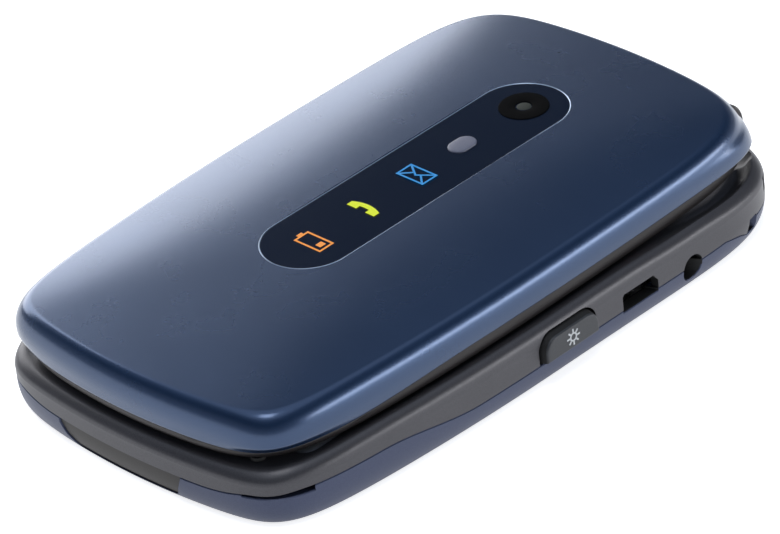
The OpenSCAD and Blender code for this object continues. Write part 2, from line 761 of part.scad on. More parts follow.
module key_opening(size, p) {
    translate(p) rounded_block([size.x + 2*key_gap, size.y + 2*key_gap], 2.4, 6, 20);
}
module key_openings() {
    for (i = [0:11]) key_opening([key_w, key_l], digit_spot(i));
    for (p = soft_spots) key_opening(soft_size, p);
    for (p = call_spots) key_opening(soft_size, p);
    translate([0, nav_y, 6]) cylinder(r = nav_r + key_gap, h = 20);
}
// pillowed cap, flange under the deck and plunger over the dome
module key(size, p) {
    crown_r = 100;
    translate(p) {
        intersection() {
            rounded_block(size, 2.2, key_low + 0.3, 12);
            translate([0, 0, key_top - crown_r]) rotate([90, 0, 0])
                cylinder(r = crown_r, h = 40, center = true, $fn = 720);
        }
        rounded_block([size.x + 2*key_flange, size.y + 2*key_flange], 2.4, key_low, 7.72);
        translate([0, 0, plunger_z]) cylinder(r = 1.3, h = 1);
    }
}
module digit_key(i) { color("silver") key([key_w, key_l], digit_spot(i)); }
module soft_key(s) { color("silver") key(soft_size, soft_spots[s]); }
module call_key() { color("limegreen") key(soft_size, call_spots[0]); }
module end_key() { color("red") key(soft_size, call_spots[1]); }
module nav_ring() {
    color("silver") translate([0, nav_y, 0]) {
        rotate_extrude($fn = 96) polygon([[ok_r + 0.25, key_low], [nav_r + 0.6, key_low],
            [nav_r + 0.6, 7.72], [nav_r, 7.72], [nav_r, key_top - 0.3], [nav_r - 0.5, key_top - 0.05],
            [nav_r - 1.4, key_top], [ok_r + 1.2, key_top - 0.1], [ok_r + 0.25, key_top - 0.4]]);
        for (a = [45:90:360]) rotate([0, 0, a]) translate([6.8, 0, plunger_z]) cylinder(r = 1, h = 1);
    }
}
module ok_key() {
    color("silver") translate([0, nav_y, 0]) {
        intersection() {
            translate([0, 0, key_low]) cylinder(r = ok_r, h = 5);
            translate([0, 0, key_top - 40]) rotate([90, 0, 0])
                cylinder(r = 40, h = 20, center = true, $fn = 400);
        }
        translate([0, 0, plunger_z]) cylinder(r = 1.3, h = 1);
    }
}

module dome(p) {
    translate([p.x, p.y, dome_z - 0.1]) cylinder(r1 = 2.4, r2 = 1.6, h = 0.26);
}
module dome_sheet() {
    color("white") union() {
        difference() {
            intersection() {
                slab(base_outline, 5, board_z + board_t + 0.01, dome_z);
                translate([-far, -44, 0]) cube([2*far, 82.6, 20]);
            }
            for (p = screw_spots) translate([p.x, p.y, 0]) cylinder(r = 2, h = 20);
        }
        for (i = [0:11]) dome(digit_spot(i));
        for (p = concat(soft_spots, call_spots)) dome(p);
        dome([0, nav_y]);
        for (a = [45:90:360]) dome([6.8*cos(a), nav_y + 6.8*sin(a)]);
    }
}

lid_cover();
indicator_window();
camera_bezel();
camera_lens();
camera_module();
lamp_lens();
indicator_lamps();
lid_frame();
display_glass();
display_panel();
lid_board();
earpiece();
lid_bumpers();
hinge_shaft();
hinge_bush();
front_housing();
rear_housing();
rear_cover();
battery();
battery_contacts();
main_board();
shield_can();
sim_holder();
loudspeaker();
vibration_motor();
vibration_weight();
microphone();
dome_sheet();
hinge_can();
hinge_spring();
hinge_follower();
usb_shell();
usb_tongue();
audio_jack();
base_screws();
digit_key(9);  // key_1
digit_key(10);  // key_2
digit_key(11);  // key_3
digit_key(6);  // key_4
digit_key(7);  // key_5
digit_key(8);  // key_6
digit_key(3);  // key_7
digit_key(4);  // key_8
digit_key(5);  // key_9
digit_key(0);  // key_star
digit_key(1);  // key_0
digit_key(2);  // key_hash
soft_key(0);  // soft_key_left
soft_key(1);  // soft_key_right
call_key();
end_key();
nav_ring();
ok_key();
side_button();
volume_rocker();
sos_button();
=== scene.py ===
import bmesh
import bpy
import json
import numpy as np
from mathutils import Matrix


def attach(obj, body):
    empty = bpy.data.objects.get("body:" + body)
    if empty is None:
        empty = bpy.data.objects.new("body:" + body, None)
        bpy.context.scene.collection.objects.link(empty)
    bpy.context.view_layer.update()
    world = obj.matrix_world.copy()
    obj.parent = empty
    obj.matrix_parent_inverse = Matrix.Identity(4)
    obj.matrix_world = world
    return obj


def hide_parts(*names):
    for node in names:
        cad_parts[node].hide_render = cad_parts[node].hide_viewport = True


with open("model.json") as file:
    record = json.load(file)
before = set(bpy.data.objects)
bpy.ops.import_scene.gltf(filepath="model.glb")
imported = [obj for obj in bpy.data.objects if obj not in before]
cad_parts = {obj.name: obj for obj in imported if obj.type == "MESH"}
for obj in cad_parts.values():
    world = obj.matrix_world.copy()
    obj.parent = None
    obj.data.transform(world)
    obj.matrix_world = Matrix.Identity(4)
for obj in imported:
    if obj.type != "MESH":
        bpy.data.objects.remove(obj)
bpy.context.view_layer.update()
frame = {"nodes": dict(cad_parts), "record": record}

# Folding phone, closed, on its rear cover. Shapes are worked out in millimetres in the CAD's
# own frame and become metres as they go into a mesh. +X is the side with the sockets, +Y the
# hinge end, +Z up through the lid.
mm = 0.001


# Shape functions
def ramp(t):
    # smooth step: 3t^2 - 2t^3 between 0 and 1
    t = np.clip(t, 0.0, 1.0)
    return t * t * (3.0 - 2.0 * t)


def mix(a, b, t):
    # t of the way from a to b
    return a + (b - a) * t


def circle(radius, count, start=0.0, end=360.0):
    # points at radius r: (r cos a, r sin a), the last one left out of a full turn
    full = abs(end - start) >= 360.0
    a = np.radians(np.linspace(start, end, count, endpoint=not full))
    return np.column_stack([radius * np.cos(a), radius * np.sin(a)])


baseShape = {
    "halfWidth": 31.5, "halfLength": 53.6,
    "freePower": 11.2, "hingePower": 7.5,      # how square the corners are
    "freeTaper": 0.106, "hingeTaper": -0.02,   # narrowing towards each end
    "freeBow": 0.059, "hingeBow": 0.097,       # rounding of each end
    "middle": 0.0,
}
lidShape = {
    "halfWidth": 29.7, "halfLength": 52.1,
    "freePower": 13.6, "hingePower": 8.2,
    "freeTaper": 0.092, "hingeTaper": 0.038,
    "freeBow": 0.064, "hingeBow": 0.06,
    "middle": -0.8,
}
lidLowPower = {"free": 9.5, "hinge": 14.0}    # corners of the lid's lower edge


def outline(shape, angle, inset=0.0, soft=0.0, power=None):
    # superellipse |x|^n + |y|^n = 1 along each direction, narrowed by 1 - taper*y^2 towards
    # the ends and shortened by 1 - bow*x^2 towards the sides
    c, s = np.cos(angle), np.sin(angle)
    back = s > 0
    n = np.where(back, shape["hingePower"], shape["freePower"])
    n = mix(n, np.where(back, lidLowPower["hinge"], lidLowPower["free"]), soft)
    n = n if power is None else power
    r = (np.abs(c) ** n + np.abs(s) ** n) ** (-1.0 / n)
    x, y = r * c, r * s
    taper = np.where(back, shape["hingeTaper"], shape["freeTaper"])
    bow = np.where(back, shape["hingeBow"], shape["freeBow"])
    return ((shape["halfWidth"] - inset) * x * (1.0 - taper * y * y),
            (shape["halfLength"] - inset) * y * (1.0 - bow * x * x) + shape["middle"])


def row(shape, angle, inset, height, power=None):
    # the outline moved in by the inset, at a height that is a number or a function of x and y
    x, y = outline(shape, angle, inset, power=power)
    return x, y, height(x, y) if callable(height) else height


def evenAngles(shape, spacing):
    # directions whose outline points lie an even distance apart
    a = np.linspace(0.0, 2.0 * np.pi, 40001)
    x, y = outline(shape, a)
    length = np.concatenate([[0.0], np.cumsum(np.hypot(np.diff(x), np.diff(y)))])
    count = int(length[-1] / spacing)
    return np.interp(np.arange(count) * length[-1] / count, length, a)


def smoothRows(keys, each):
    # Catmull-Rom curve through the rows of a table, each interval cut into equal steps
    keys = np.asarray(keys, float)
    padded = np.vstack([2 * keys[0] - keys[1], keys, 2 * keys[-1] - keys[-2]])
    t = (np.arange(each) / each)[:, None]
    rows = []
    for i in range(len(keys) - 1):
        p0, p1, p2, p3 = padded[i:i + 4]
        rows.append(0.5 * (2 * p1 + (p2 - p0) * t + (2 * p0 - 5 * p1 + 4 * p2 - p3) * t * t
                           + (3 * p1 - p0 - 3 * p2 + p3) * t ** 3))
    return np.vstack(rows + [keys[-1:]])


# Meshes
def pointOutwards(mesh):
    # a closed mesh whose enclosed volume is negative is turned inside out
    work = bmesh.new()
    work.from_mesh(mesh)
    if work.calc_volume(signed=True) < 0:
        bmesh.ops.reverse_faces(work, faces=work.faces)
    work.to_mesh(mesh)
    work.free()


def makeObject(name, points, faces, sharp=35.0):
    # points in millimetres and faces as one smooth piece that keeps its sharp edges
    mesh = bpy.data.meshes.new(name)
    mesh.from_pydata(np.asarray(points, float) * mm, [], faces)
    mesh.validate()
    pointOutwards(mesh)
    mesh.shade_smooth()
    mesh.set_sharp_from_angle(angle=np.radians(sharp))
    piece = bpy.data.objects.new(name, mesh)
    bpy.context.scene.collection.objects.link(piece)
    return piece


def gridObject(name, rings, ends="caps", sharp=35.0):
    # rings[row, column] joined by quads; columns close round, and the first and last rows
    # are capped or joined to each other
    rings = np.asarray(rings, float)
    rows, cols = rings.shape[:2]
    index = np.arange(rows * cols).reshape(rows, cols)
    lower = index if ends == "joined" else index[:-1]
    upper = np.roll(index, -1, axis=0) if ends == "joined" else index[1:]
    quads = np.stack([lower, np.roll(lower, -1, axis=1), np.roll(upper, -1, axis=1), upper], -1)
    faces = quads.reshape(-1, 4).tolist()
    if ends == "caps":
        faces += [index[0][::-1].tolist(), index[-1].tolist()]
    return makeObject(name, rings.reshape(-1, 3), faces, sharp)


def stack(parts):
    # rows of (x, y, z) arrays as one block
    return np.stack([np.stack(np.broadcast_arrays(*p), -1) for p in parts])


def prism(name, flat, low, high, along="z"):
    # a flat closed shape carried straight along one axis
    flat = np.asarray(flat, float)
    one = np.ones(len(flat))
    order = {"z": (0, 1, 2), "x": (2, 0, 1), "y": (0, 2, 1)}[along]
    rings = [np.column_stack([flat[:, 0], flat[:, 1], one * h])[:, order] for h in (low, high)]
    return gridObject(name, rings)


def lathe(name, profile, centre, count=96, axis="z", ends="caps"):
    # (radius, height) profile turned about an axis through the centre
    profile = np.asarray(profile, float)
    a = np.linspace(0.0, 2.0 * np.pi, count, endpoint=False)
    r, h = profile[:, :1], profile[:, 1:]
    ring = np.stack([r * np.cos(a), r * np.sin(a), h + 0 * a], -1)
    if axis == "x":
        ring = ring[..., [2, 0, 1]]
    return gridObject(name, ring + np.asarray(centre, float), ends)


def barrel(radius, half, edge):
    # profile of a plain cylinder with both edges cut at 45 degrees
    return [(radius - edge, -half), (radius, -half + edge), (radius, half - edge),
            (radius - edge, half)]


def roundedFlat(width, length, radius, steps=8, centre=(0.0, 0.0)):
    # rectangle with round corners
    corner = circle(radius, steps + 1, 0, 90)
    parts = []
    for quarter in range(4):
        a = np.radians(90 * quarter)
        turn = np.array([[np.cos(a), -np.sin(a)], [np.sin(a), np.cos(a)]])
        half = np.array([width, length]) / 2 if quarter % 2 == 0 else np.array([length, width]) / 2
        parts.append((corner + half - radius) @ turn.T)
    return np.vstack(parts) + np.asarray(centre, float)


def stadiumFlat(length, width, steps=32, centreY=0.0):
    # two half circles joined by straight sides along Y
    r, reach = width / 2, (length - width) / 2
    top = circle(r, steps + 1, 0, 180) + [0, reach]
    low = circle(r, steps + 1, 180, 360 - 1e-9) - [0, reach]
    return np.vstack([top, low]) + [0, centreY]


def carve(piece, cutters, operation="DIFFERENCE", sharp=35.0):
    # exact boolean with a list of closed cutters, which are then removed
    group = bpy.data.collections.new("cutters")
    bpy.context.scene.collection.children.link(group)
    for cutter in cutters:
        group.objects.link(cutter)
    change = piece.modifiers.new("carve", "BOOLEAN")
    change.operation = operation
    change.operand_type = "COLLECTION"
    change.collection = group
    change.solver = "EXACT"
    bpy.context.view_layer.update()
    shape = piece.evaluated_get(bpy.context.evaluated_depsgraph_get())
    mesh = bpy.data.meshes.new_from_object(shape)
    piece.modifiers.clear()
    old = piece.data
    piece.data = mesh
    bpy.data.meshes.remove(old)
    for cutter in cutters:
        bpy.data.objects.remove(cutter)
    bpy.data.collections.remove(group)
    mesh.shade_smooth()
    mesh.set_sharp_from_angle(angle=np.radians(sharp))
    return piece


def readTriples(items, key):
    # a three-part property of every vertex or face as one array
    values = np.empty(len(items) * 3)
    items.foreach_get(key, values)
    return values.reshape(-1, 3)


def dress(piece, material, body, slot, *nodes):
    # one material, the body it rides on, the record's slot (not used) and the CAD nodes it stands
    # for
    piece.data.materials.clear()
    piece.data.materials.append(material)
    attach(piece, body)
    if nodes:
        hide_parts(*nodes)
    return piece


# Node groups
def newGroup(name, inputs, outputs):
    # an empty shader group with its own inputs and outputs
    group = bpy.data.node_groups.new(name, "ShaderNodeTree")
    for label, kind, value in inputs:
        socket = group.interface.new_socket(name=label, in_out="INPUT", socket_type=kind)
        if value is not None:
            socket.default_value = value
    for label, kind in outputs:
        group.interface.new_socket(name=label, in_out="OUTPUT", socket_type=kind)
    return group, group.nodes.new("NodeGroupInput"), group.nodes.new("NodeGroupOutput")


def addNode(tree, kind, settings=(), **values):
    # a node with its settings and the values of its own sockets
    node = tree.nodes.new(kind)
    for key, value in dict(settings).items():
        setattr(node, key, value)
    for key, value in values.items():
        node.inputs[key.replace("_", " ")].default_value = value
    return node


def noiseNode(tree, place, detail=2.0, roughness=0.5):
    # noise on the piece's own coordinates, its scale in features per metre
    node = addNode(tree, "ShaderNodeTexNoise", Detail=detail, Roughness=roughness)
    tree.links.new(place.outputs["Object"], node.inputs["Vector"])
    return node


def makeGrain():
    # fine moulded grain: a bump from one fine noise
    group, take, give = newGroup("mouldedGrain", [
        ("Scale", "NodeSocketFloat", 9000.0), ("Depth", "NodeSocketFloat", 0.3)],
        [("Normal", "NodeSocketVector")])
    place = group.nodes.new("ShaderNodeTexCoord")
    fine = noiseNode(group, place, 3.0, 0.6)
    group.links.new(take.outputs["Scale"], fine.inputs["Scale"])
    bump = addNode(group, "ShaderNodeBump", Distance=0.00002)
    group.links.new(take.outputs["Depth"], bump.inputs["Strength"])
    group.links.new(fine.outputs["Fac"], bump.inputs["Height"])
    group.links.new(bump.outputs["Normal"], give.inputs["Normal"])
    return group


def makeShine():
    # roughness that drifts over the surface, with faint rubbed patches
    group, take, give = newGroup("handledShine", [
        ("Roughness", "NodeSocketFloat", 0.35), ("Drift", "NodeSocketFloat", 0.06),
        ("Scale", "NodeSocketFloat", 90.0)], [("Roughness", "NodeSocketFloat")])
    place = group.nodes.new("ShaderNodeTexCoord")
    broad = noiseNode(group, place, 4.0, 0.62)
    group.links.new(take.outputs["Scale"], broad.inputs["Scale"])
    shift = addNode(group, "ShaderNodeMath", {"operation": "SUBTRACT"})
    group.links.new(broad.outputs["Fac"], shift.inputs[0])
    shift.inputs[1].default_value = 0.5
    spread = addNode(group, "ShaderNodeMath", {"operation": "MULTIPLY_ADD"})
    group.links.new(shift.outputs[0], spread.inputs[0])
    group.links.new(take.outputs["Drift"], spread.inputs[1])
    group.links.new(take.outputs["Roughness"], spread.inputs[2])
    group.links.new(spread.outputs[0], give.inputs["Roughness"])
    return group


def makeTint():
    # colour that varies between two values: fine flakes over a broad drift
    group, take, give = newGroup("speckTint", [
        ("Colour", "NodeSocketColor", (0.5, 0.5, 0.5, 1)),
        ("Other", "NodeSocketColor", (0.6, 0.6, 0.6, 1)),
        ("Scale", "NodeSocketFloat", 9000.0), ("Amount", "NodeSocketFloat", 0.5)],
        [("Colour", "NodeSocketColor")])
    place = group.nodes.new("ShaderNodeTexCoord")
    fleck = addNode(group, "ShaderNodeTexVoronoi")
    group.links.new(place.outputs["Object"], fleck.inputs["Vector"])
    group.links.new(take.outputs["Scale"], fleck.inputs["Scale"])
    grey = group.nodes.new("ShaderNodeSeparateColor")
    group.links.new(fleck.outputs["Color"], grey.inputs[0])
    broad = noiseNode(group, place, 3.0)
    broad.inputs["Scale"].default_value = 60.0
    both = addNode(group, "ShaderNodeMath", {"operation": "MULTIPLY"})
    group.links.new(grey.outputs[0], both.inputs[0])
    group.links.new(broad.outputs["Fac"], both.inputs[1])
    amount = addNode(group, "ShaderNodeMath", {"operation": "MULTIPLY", "use_clamp": True})
    group.links.new(both.outputs[0], amount.inputs[0])
    group.links.new(take.outputs["Amount"], amount.inputs[1])
    blend = addNode(group, "ShaderNodeMix", {"data_type": "RGBA"})
    group.links.new(amount.outputs[0], blend.inputs["Factor"])
    group.links.new(take.outputs["Colour"], blend.inputs[6])
    group.links.new(take.outputs["Other"], blend.inputs[7])
    group.links.new(blend.outputs[2], give.inputs["Colour"])
    return group


groups = {"grain": makeGrain(), "shine": makeShine(), "tint": makeTint()}


def finish(name, colour, other, metallic=0.0, roughness=0.4, drift=0.06, grain=0.3,
           grainScale=9000.0, fleck=9000.0, fleckAmount=1.0, sockets=()):
    # a shader whose colour, roughness and normal come from the three groups
    material = bpy.data.materials.new(name)
    material.use_nodes = True
    tree = material.node_tree
    shader = tree.nodes["Principled BSDF"]
    shader.inputs["Metallic"].default_value = metallic
    for key, value in dict(sockets).items():
        shader.inputs[key].default_value = value
    tint = addNode(tree, "ShaderNodeGroup", {"node_tree": groups["tint"]}, Colour=(*colour, 1),
                   Other=(*other, 1), Scale=fleck, Amount=fleckAmount)
    tree.links.new(tint.outputs["Colour"], shader.inputs["Base Color"])
    shine = addNode(tree, "ShaderNodeGroup", {"node_tree": groups["shine"]}, Roughness=roughness,
                    Drift=drift)
    tree.links.new(shine.outputs["Roughness"], shader.inputs["Roughness"])
    if grain > 0:
        skin = addNode(tree, "ShaderNodeGroup", {"node_tree": groups["grain"]}, Scale=grainScale,
                       Depth=grain)
        tree.links.new(skin.outputs["Normal"], shader.inputs["Normal"])
    return material


finishes = {
    "lid_paint": finish("lidPaint", (0.017, 0.046, 0.116), (0.030, 0.072, 0.166), 0.6, 0.27, 0.05,
                        0.05, 14000.0, 16000.0, 1.0,
                        {"Coat Weight": 0.6, "Coat Roughness": 0.2}),
    "window_black": finish("smokedWindow", (0.007, 0.013, 0.030), (0.009, 0.016, 0.034), 0.0,
                           0.12, 0.04, 0.0),
    "bezel_black": finish("bezelBlack", (0.003, 0.003, 0.0035), (0.006, 0.006, 0.0065), 0.0, 0.7,
                          0.06, 0.2, sockets={"Specular IOR Level": 0.02}),
    "lens_glass": finish("lensGlass", (0.050, 0.055, 0.048), (0.062, 0.066, 0.058), 0.0, 0.5,
                         0.03, 0.0, sockets={"Specular IOR Level": 0.06}),
    "lamp_clear": finish("frostedLamp", (0.13, 0.14, 0.20), (0.20, 0.21, 0.28), 0.0, 0.34, 0.1,
                         0.8, 5000.0),
    "lamp_yellow": finish("lampResin", (0.85, 0.72, 0.25), (0.9, 0.8, 0.4)),
    "frame_brown": finish("frameBrown", (0.026, 0.022, 0.022), (0.040, 0.035, 0.035), 0.35, 0.40,
                          0.08, 0.35, 9000.0),
    "display_black": finish("displayGlass", (0.004, 0.004, 0.005), (0.006, 0.006, 0.007), 0.0,
                            0.04, 0.03, 0.0),
    "panel_grey": finish("panelGrey", (0.05, 0.055, 0.06), (0.06, 0.065, 0.07)),
    "board_green": finish("solderMask", (0.015, 0.11, 0.045), (0.03, 0.18, 0.07), 0.0, 0.35),
    "steel": finish("plainSteel", (0.50, 0.50, 0.51), (0.62, 0.62, 0.63), 1.0, 0.28, 0.12, 0.2,
                    5000.0),
    "gold_plate": finish("goldPlate", (0.75, 0.53, 0.2), (0.85, 0.63, 0.28), 1.0, 0.22),
    # black rubber, also used as painted shade on the walls of the socket and strap openings
    "rubber_black": finish("blackRubberAndHoleShade", (0.012, 0.012, 0.012), (0.022, 0.022, 0.022), 0.0, 0.7,
                           0.1, 0.6, 6000.0),
    "housing_grey": finish("housingGrey", (0.072, 0.070, 0.078), (0.104, 0.101, 0.111), 0.42,
                           0.38, 0.08, 0.45, 8000.0),
    "cover_blue": finish("coverBlue", (0.054, 0.067, 0.124), (0.078, 0.095, 0.165), 0.35, 0.42,
                         0.08, 0.45, 8000.0),
    "chassis_grey": finish("chassisGrey", (0.014, 0.011, 0.010), (0.024, 0.020, 0.018), 0.1,
                           0.5, 0.08, 0.5, 7000.0),
    "part_black": finish("partBlack", (0.010, 0.010, 0.011), (0.018, 0.018, 0.019), 0.0, 0.5),
    "battery_grey": finish("batteryWrap", (0.06, 0.06, 0.068), (0.09, 0.09, 0.1), 0.0, 0.45),
    "key_grey": finish("keyGrey", (0.24, 0.25, 0.275), (0.30, 0.31, 0.335), 0.25, 0.36, 0.08,
                       0.3, 8000.0),
    "key_green": finish("keyGreen", (0.03, 0.30, 0.08), (0.045, 0.36, 0.1), 0.1, 0.36),
    "key_red": finish("keyRed", (0.42, 0.03, 0.03), (0.5, 0.045, 0.04), 0.1, 0.36),
    "nav_silver": finish("navSilver", (0.42, 0.43, 0.46), (0.52, 0.53, 0.56), 0.75, 0.3),
    "button_grey": finish("buttonGrey", (0.042, 0.044, 0.050), (0.06, 0.063, 0.07), 0.1, 0.45,
                          0.08, 0.4, 8000.0),
    "film_clear": finish("domeFilm", (0.6, 0.6, 0.58), (0.7, 0.7, 0.68), 0.0, 0.3),
}
slotOf = {part["node"]: part["material_slot"] for part in frame["record"]["subparts"]}
for node, obj in frame["nodes"].items():
    obj.data.materials.clear()
    obj.data.materials.append(finishes[slotOf[node]])
print("materials: done")


# Lid
lid = {
    "height": 18.6, "crown": 1.4, "rim": 2.3, "rimDepth": 4.4,
    "ovalPower": 2.4, "squarePower": 11.0,    # rings of the crown, in the middle and at the rim
    "wall": 1.3,             # from the outer face to the inner one
    "edgeLow": 11.25, "edgeRise": 0.95,
    "columnSpacing": 0.55,
    "windowLength": 57.2, "windowWidth": 14.2, "windowY": 6.2,
    "hingeY": 45.8, "hingeZ": 12.6, "knuckle": 4.2, "knuckleHalf": 13.0, "armReach": 22.0,
    "notchAngle": 32.0,
}


def crownHeight(x, y):
    # height of the lid over (x, y): top - crown * f^3, where f says which of the rings that
    # grow from a soft oval in the middle to the square rim passes through the point
    rimX, rimY = lidShape["halfWidth"] - lid["rim"], lidShape["halfLength"] - lid["rim"]
    y = y - lidShape["middle"]
    taper = np.where(y > 0, lidShape["hingeTaper"], lidShape["freeTaper"])
    bow = np.where(y > 0, lidShape["hingeBow"], lidShape["freeBow"])
    smallest, largest, halvings, straightenings, limit = 0.01, 1.2, 26, 6, 1.6
    low, high = np.full(np.shape(x), smallest), np.full(np.shape(x), largest)
    for _ in range(halvings):
        f = (low + high) / 2
        u, v = x / (f * rimX), y / (f * rimY)
        across, along = u, v
        for _ in range(straightenings):
            across, along = u / (1 - taper * along ** 2), v / (1 - bow * across ** 2)
            along = np.clip(along, -limit, limit)
            across = np.clip(across, -limit, limit)
        n = mix(lid["ovalPower"], lid["squarePower"], np.minimum(f, 1.0) ** 2)
        outside = np.abs(across) ** n + np.abs(along) ** n > 1.0
        low, high = np.where(outside, f, low), np.where(outside, high, f)
    return lid["height"] - lid["crown"] * ((low + high) / 2) ** 3


def coverEdge(y):
    # lower edge of the lid's cover: it rises from the free end to the middle
    return lid["edgeLow"] + lid["edgeRise"] * ramp((y + 40) / 28)


def windowPoint(x, y, half):
    # the nearest point of the round-ended window outline of that half width
    reach = (lid["windowLength"] - lid["windowWidth"]) / 2
    core = np.clip(y, lid["windowY"] - reach, lid["windowY"] + reach)
    d = np.hypot(x, y - core)
    return half * x / d, core + half * (y - core) / d


def lidRim(angle):
    # where the crown turns into the rim: the turn starts at the crown's own slope
    xa, ya = outline(lidShape, angle, lid["rim"] + 0.4)
    xb, yb = outline(lidShape, angle, lid["rim"] - 0.4)
    slope = (crownHeight(xa, ya) - crownHeight(xb, yb)) / np.hypot(xa - xb, ya - yb)
    start = np.pi / 2 - np.arctan(slope * lid["rim"] / lid["rimDepth"])
    x, y = outline(lidShape, angle, lid["rim"] * (1 - np.cos(start)))
    return start, x, y, crownHeight(x, y)


def sideSpot(angle, z, more=0.0):
    # the lid's side leans in, and its corners change their power towards the lower edge
    z = z + 0 * angle
    soft = np.where(np.sin(angle) > 0, (15.0 - z) / 4.0, ramp((12.6 - z) / 1.3))
    lean = 0.2 * np.clip((14.4 - z) / 3.4, 0, 1) ** 1.3
    return outline(lidShape, angle, lean + more, np.clip(soft, 0, 1))


def lidSkin(angle, rows=30):
    # crown rows from the window to the rim, then a quarter ellipse, inset a(1 - cos t) and
    # depth b(1 - sin t), and side rows down to the cover's edge
    start, rimX, rimY, rimZ = lidRim(angle)
    holeX, holeY = windowPoint(rimX, rimY, lid["windowWidth"] / 2)
    parts = []
    for t in np.sin(np.linspace(0, np.pi / 2, rows)) ** 0.9:
        x, y = mix(holeX, rimX, t), mix(holeY, rimY, t)
        parts.append((x, y, crownHeight(x, y)))
    turns = 16
    for k in range(1, turns + 1):
        a = start * (1 - k / turns)
        z = rimZ - lid["rimDepth"] * (np.sin(start) - np.sin(a))
        x, y = sideSpot(angle, z, lid["rim"] * (1 - np.cos(a)))
        parts.append((x, y, z))
    foot = parts[-1][2]
    for t in np.linspace(0, 1, 9)[1:]:
        x, y = parts[-1][0], parts[-1][1]
        z = mix(foot, coverEdge(y) + 0.22, t)
        x, y = sideSpot(angle, z)
        parts.append((x, y, z))
    return parts


def notchCutter(radius):
    # room round the base's knuckle, open below the slanted line through the axis
    half = lid["knuckleHalf"] + 0.3
    n = lid["notchAngle"]
    reach = np.radians([n, -60.0, -120.0, n - 180.0])
    lengths = np.array([20.0, 30.0, 30.0, 20.0])
    corners = np.column_stack([lengths * np.cos(reach), lengths * np.sin(reach)])
    flat = np.vstack([corners, circle(radius, 65, n + 180.0, n)])
    return prism("notch", flat + [lid["hingeY"], lid["hingeZ"]], -half, half, "x")


def makeLidShell():
    # the skin, a rolled-in lower edge, the inner wall and the window's seat as one closed loop
    angle = evenAngles(lidShape, lid["columnSpacing"])
    parts = lidSkin(angle)
    x, y, z = parts[-1]
    for more, lift in ((0.05, 0.08), (0.14, 0.02), (0.26, 0.0), (1.02, 0.0), (1.1, 0.08)):
        x, y = sideSpot(angle, z, more)
        parts.append((x, y, coverEdge(y) + lift))
    parts += [row(lidShape, angle, lid["wall"], z) for z in (13.0, 14.8)]
    _, rimX, rimY, _ = lidRim(angle)
    parts += [row(lidShape, angle, inset, lambda x, y: crownHeight(x, y) - thick)
              for inset, thick in ((1.6, 1.7), (2.4, 1.35), (4.0, 1.2))]
    for half, z in ((8.6, None), (8.6, 16.0), (6.1, 16.0), (6.1, 17.0), (7.1, 17.0)):
        x, y = windowPoint(rimX, rimY, half)
        parts.append((x, y, crownHeight(x, y) - 1.2 if z is None else z))
    x, y = windowPoint(rimX, rimY, lid["windowWidth"] / 2)
    parts.append((x, y, crownHeight(x, y) - 0.12))
    shell = gridObject("lidShell", stack(parts), "joined")
    return carve(shell, [notchCutter(lid["knuckle"] + 0.3)])


dress(makeLidShell(), finishes["lid_paint"], "lid", "lid_paint", "lid_cover")

band = {"gap": 0.06, "inner": 2.5, "floor": 10.7, "lip": 13.2, "tail": 5.7,
        "lowPower": 8.0, "power": 9.0, "lipPower": 8.0,
        "far": 80.0,             # past every side of the phone
        "seats": (               # name, width, length, corner, y, top
            ("glassSeat", 50.2, 66.2, 3.0, -9.5, 10.4),
            ("panelSeat", 41.3, 52.3, 0.6, -10, 12.0),
            ("earSlot", 11.0, 1.8, 0.88, -46.5, 12.0)),
        "bores": (               # name, radius, from, to, sides
            ("boreLeft", 2.92, -18.1, -13.0, 64), ("boreEnd", 1.8, -23.0, -18.0, 48),
            ("boreRight", 1.25, 13.0, 23.0, 48))}


def makeLidFrame():
    # rows up the outside of the frame, over its lip and down inside to the display floor
    angle = evenAngles(lidShape, lid["columnSpacing"])
    low = ((6.0, 9.6), (1.38, 9.6), (1.15, 9.63), (0.95, 9.72), (0.78, 9.87),
           (0.63, 10.1), (0.54, 10.35), (0.49, 10.65), (0.46, 10.9))
    edge = ((0.45, 0.26), (0.47, 0.14), (0.56, 0.05), (0.72, 0.0), (1.35, 0.0))
    lip = ((1.45, band["lip"]), (band["inner"], band["lip"]), (band["inner"], band["floor"]),
           (8.0, band["floor"]))
    parts = [row(lidShape, angle, inset, z, band["lowPower"]) for inset, z in low]
    parts += [row(lidShape, angle, inset, lambda x, y: coverEdge(y) - band["gap"] - drop,
                  band["power"]) for inset, drop in edge]
    parts += [row(lidShape, angle, inset, z, band["lipPower"]) for inset, z in lip]
    body = gridObject("lidFrame", stack(parts))
    y0, z0, r = lid["hingeY"], lid["hingeZ"], band["tail"]
    behind = np.vstack([circle(r, 49, -90, 90) + [y0, z0],
                        [[y0, 40], [70, 40], [70, -9], [y0, -9]]])
    carve(body, [prism("behind", behind, -band["far"], band["far"], "x")])
    arms = lathe("arms", barrel(lid["knuckle"], lid["armReach"], 0.3), (0, y0, z0), 96, "x")
    carve(body, [arms], "UNION")
    cutters = [prism(name, roundedFlat(width, length, corner, centre=(0, y)), 9.0, top)
               for name, width, length, corner, y, top in band["seats"]]
    cutters.append(notchCutter(lid["knuckle"] + 0.3))
    cutters += [lathe(name, [(bore, start), (bore, end)], (0, y0, z0), count, "x")
                for name, bore, start, end, count in band["bores"]]
    cutters.append(prism("square", roundedFlat(3.0, 3.0, 0.1, centre=(y0, z0)), 18.0, 23.0, "x"))
    return carve(body, cutters)


dress(makeLidFrame(), finishes["frame_brown"], "lid", "frame_brown", "lid_frame")
print("lid: shell and frame done")


# Window and what sits in it
window = {"gap": 0.05, "trim": 0.24, "proud": 0.03, "rings": 10, "low": 17.05, "sunk": 0.03,
          "signSunk": 0.012}


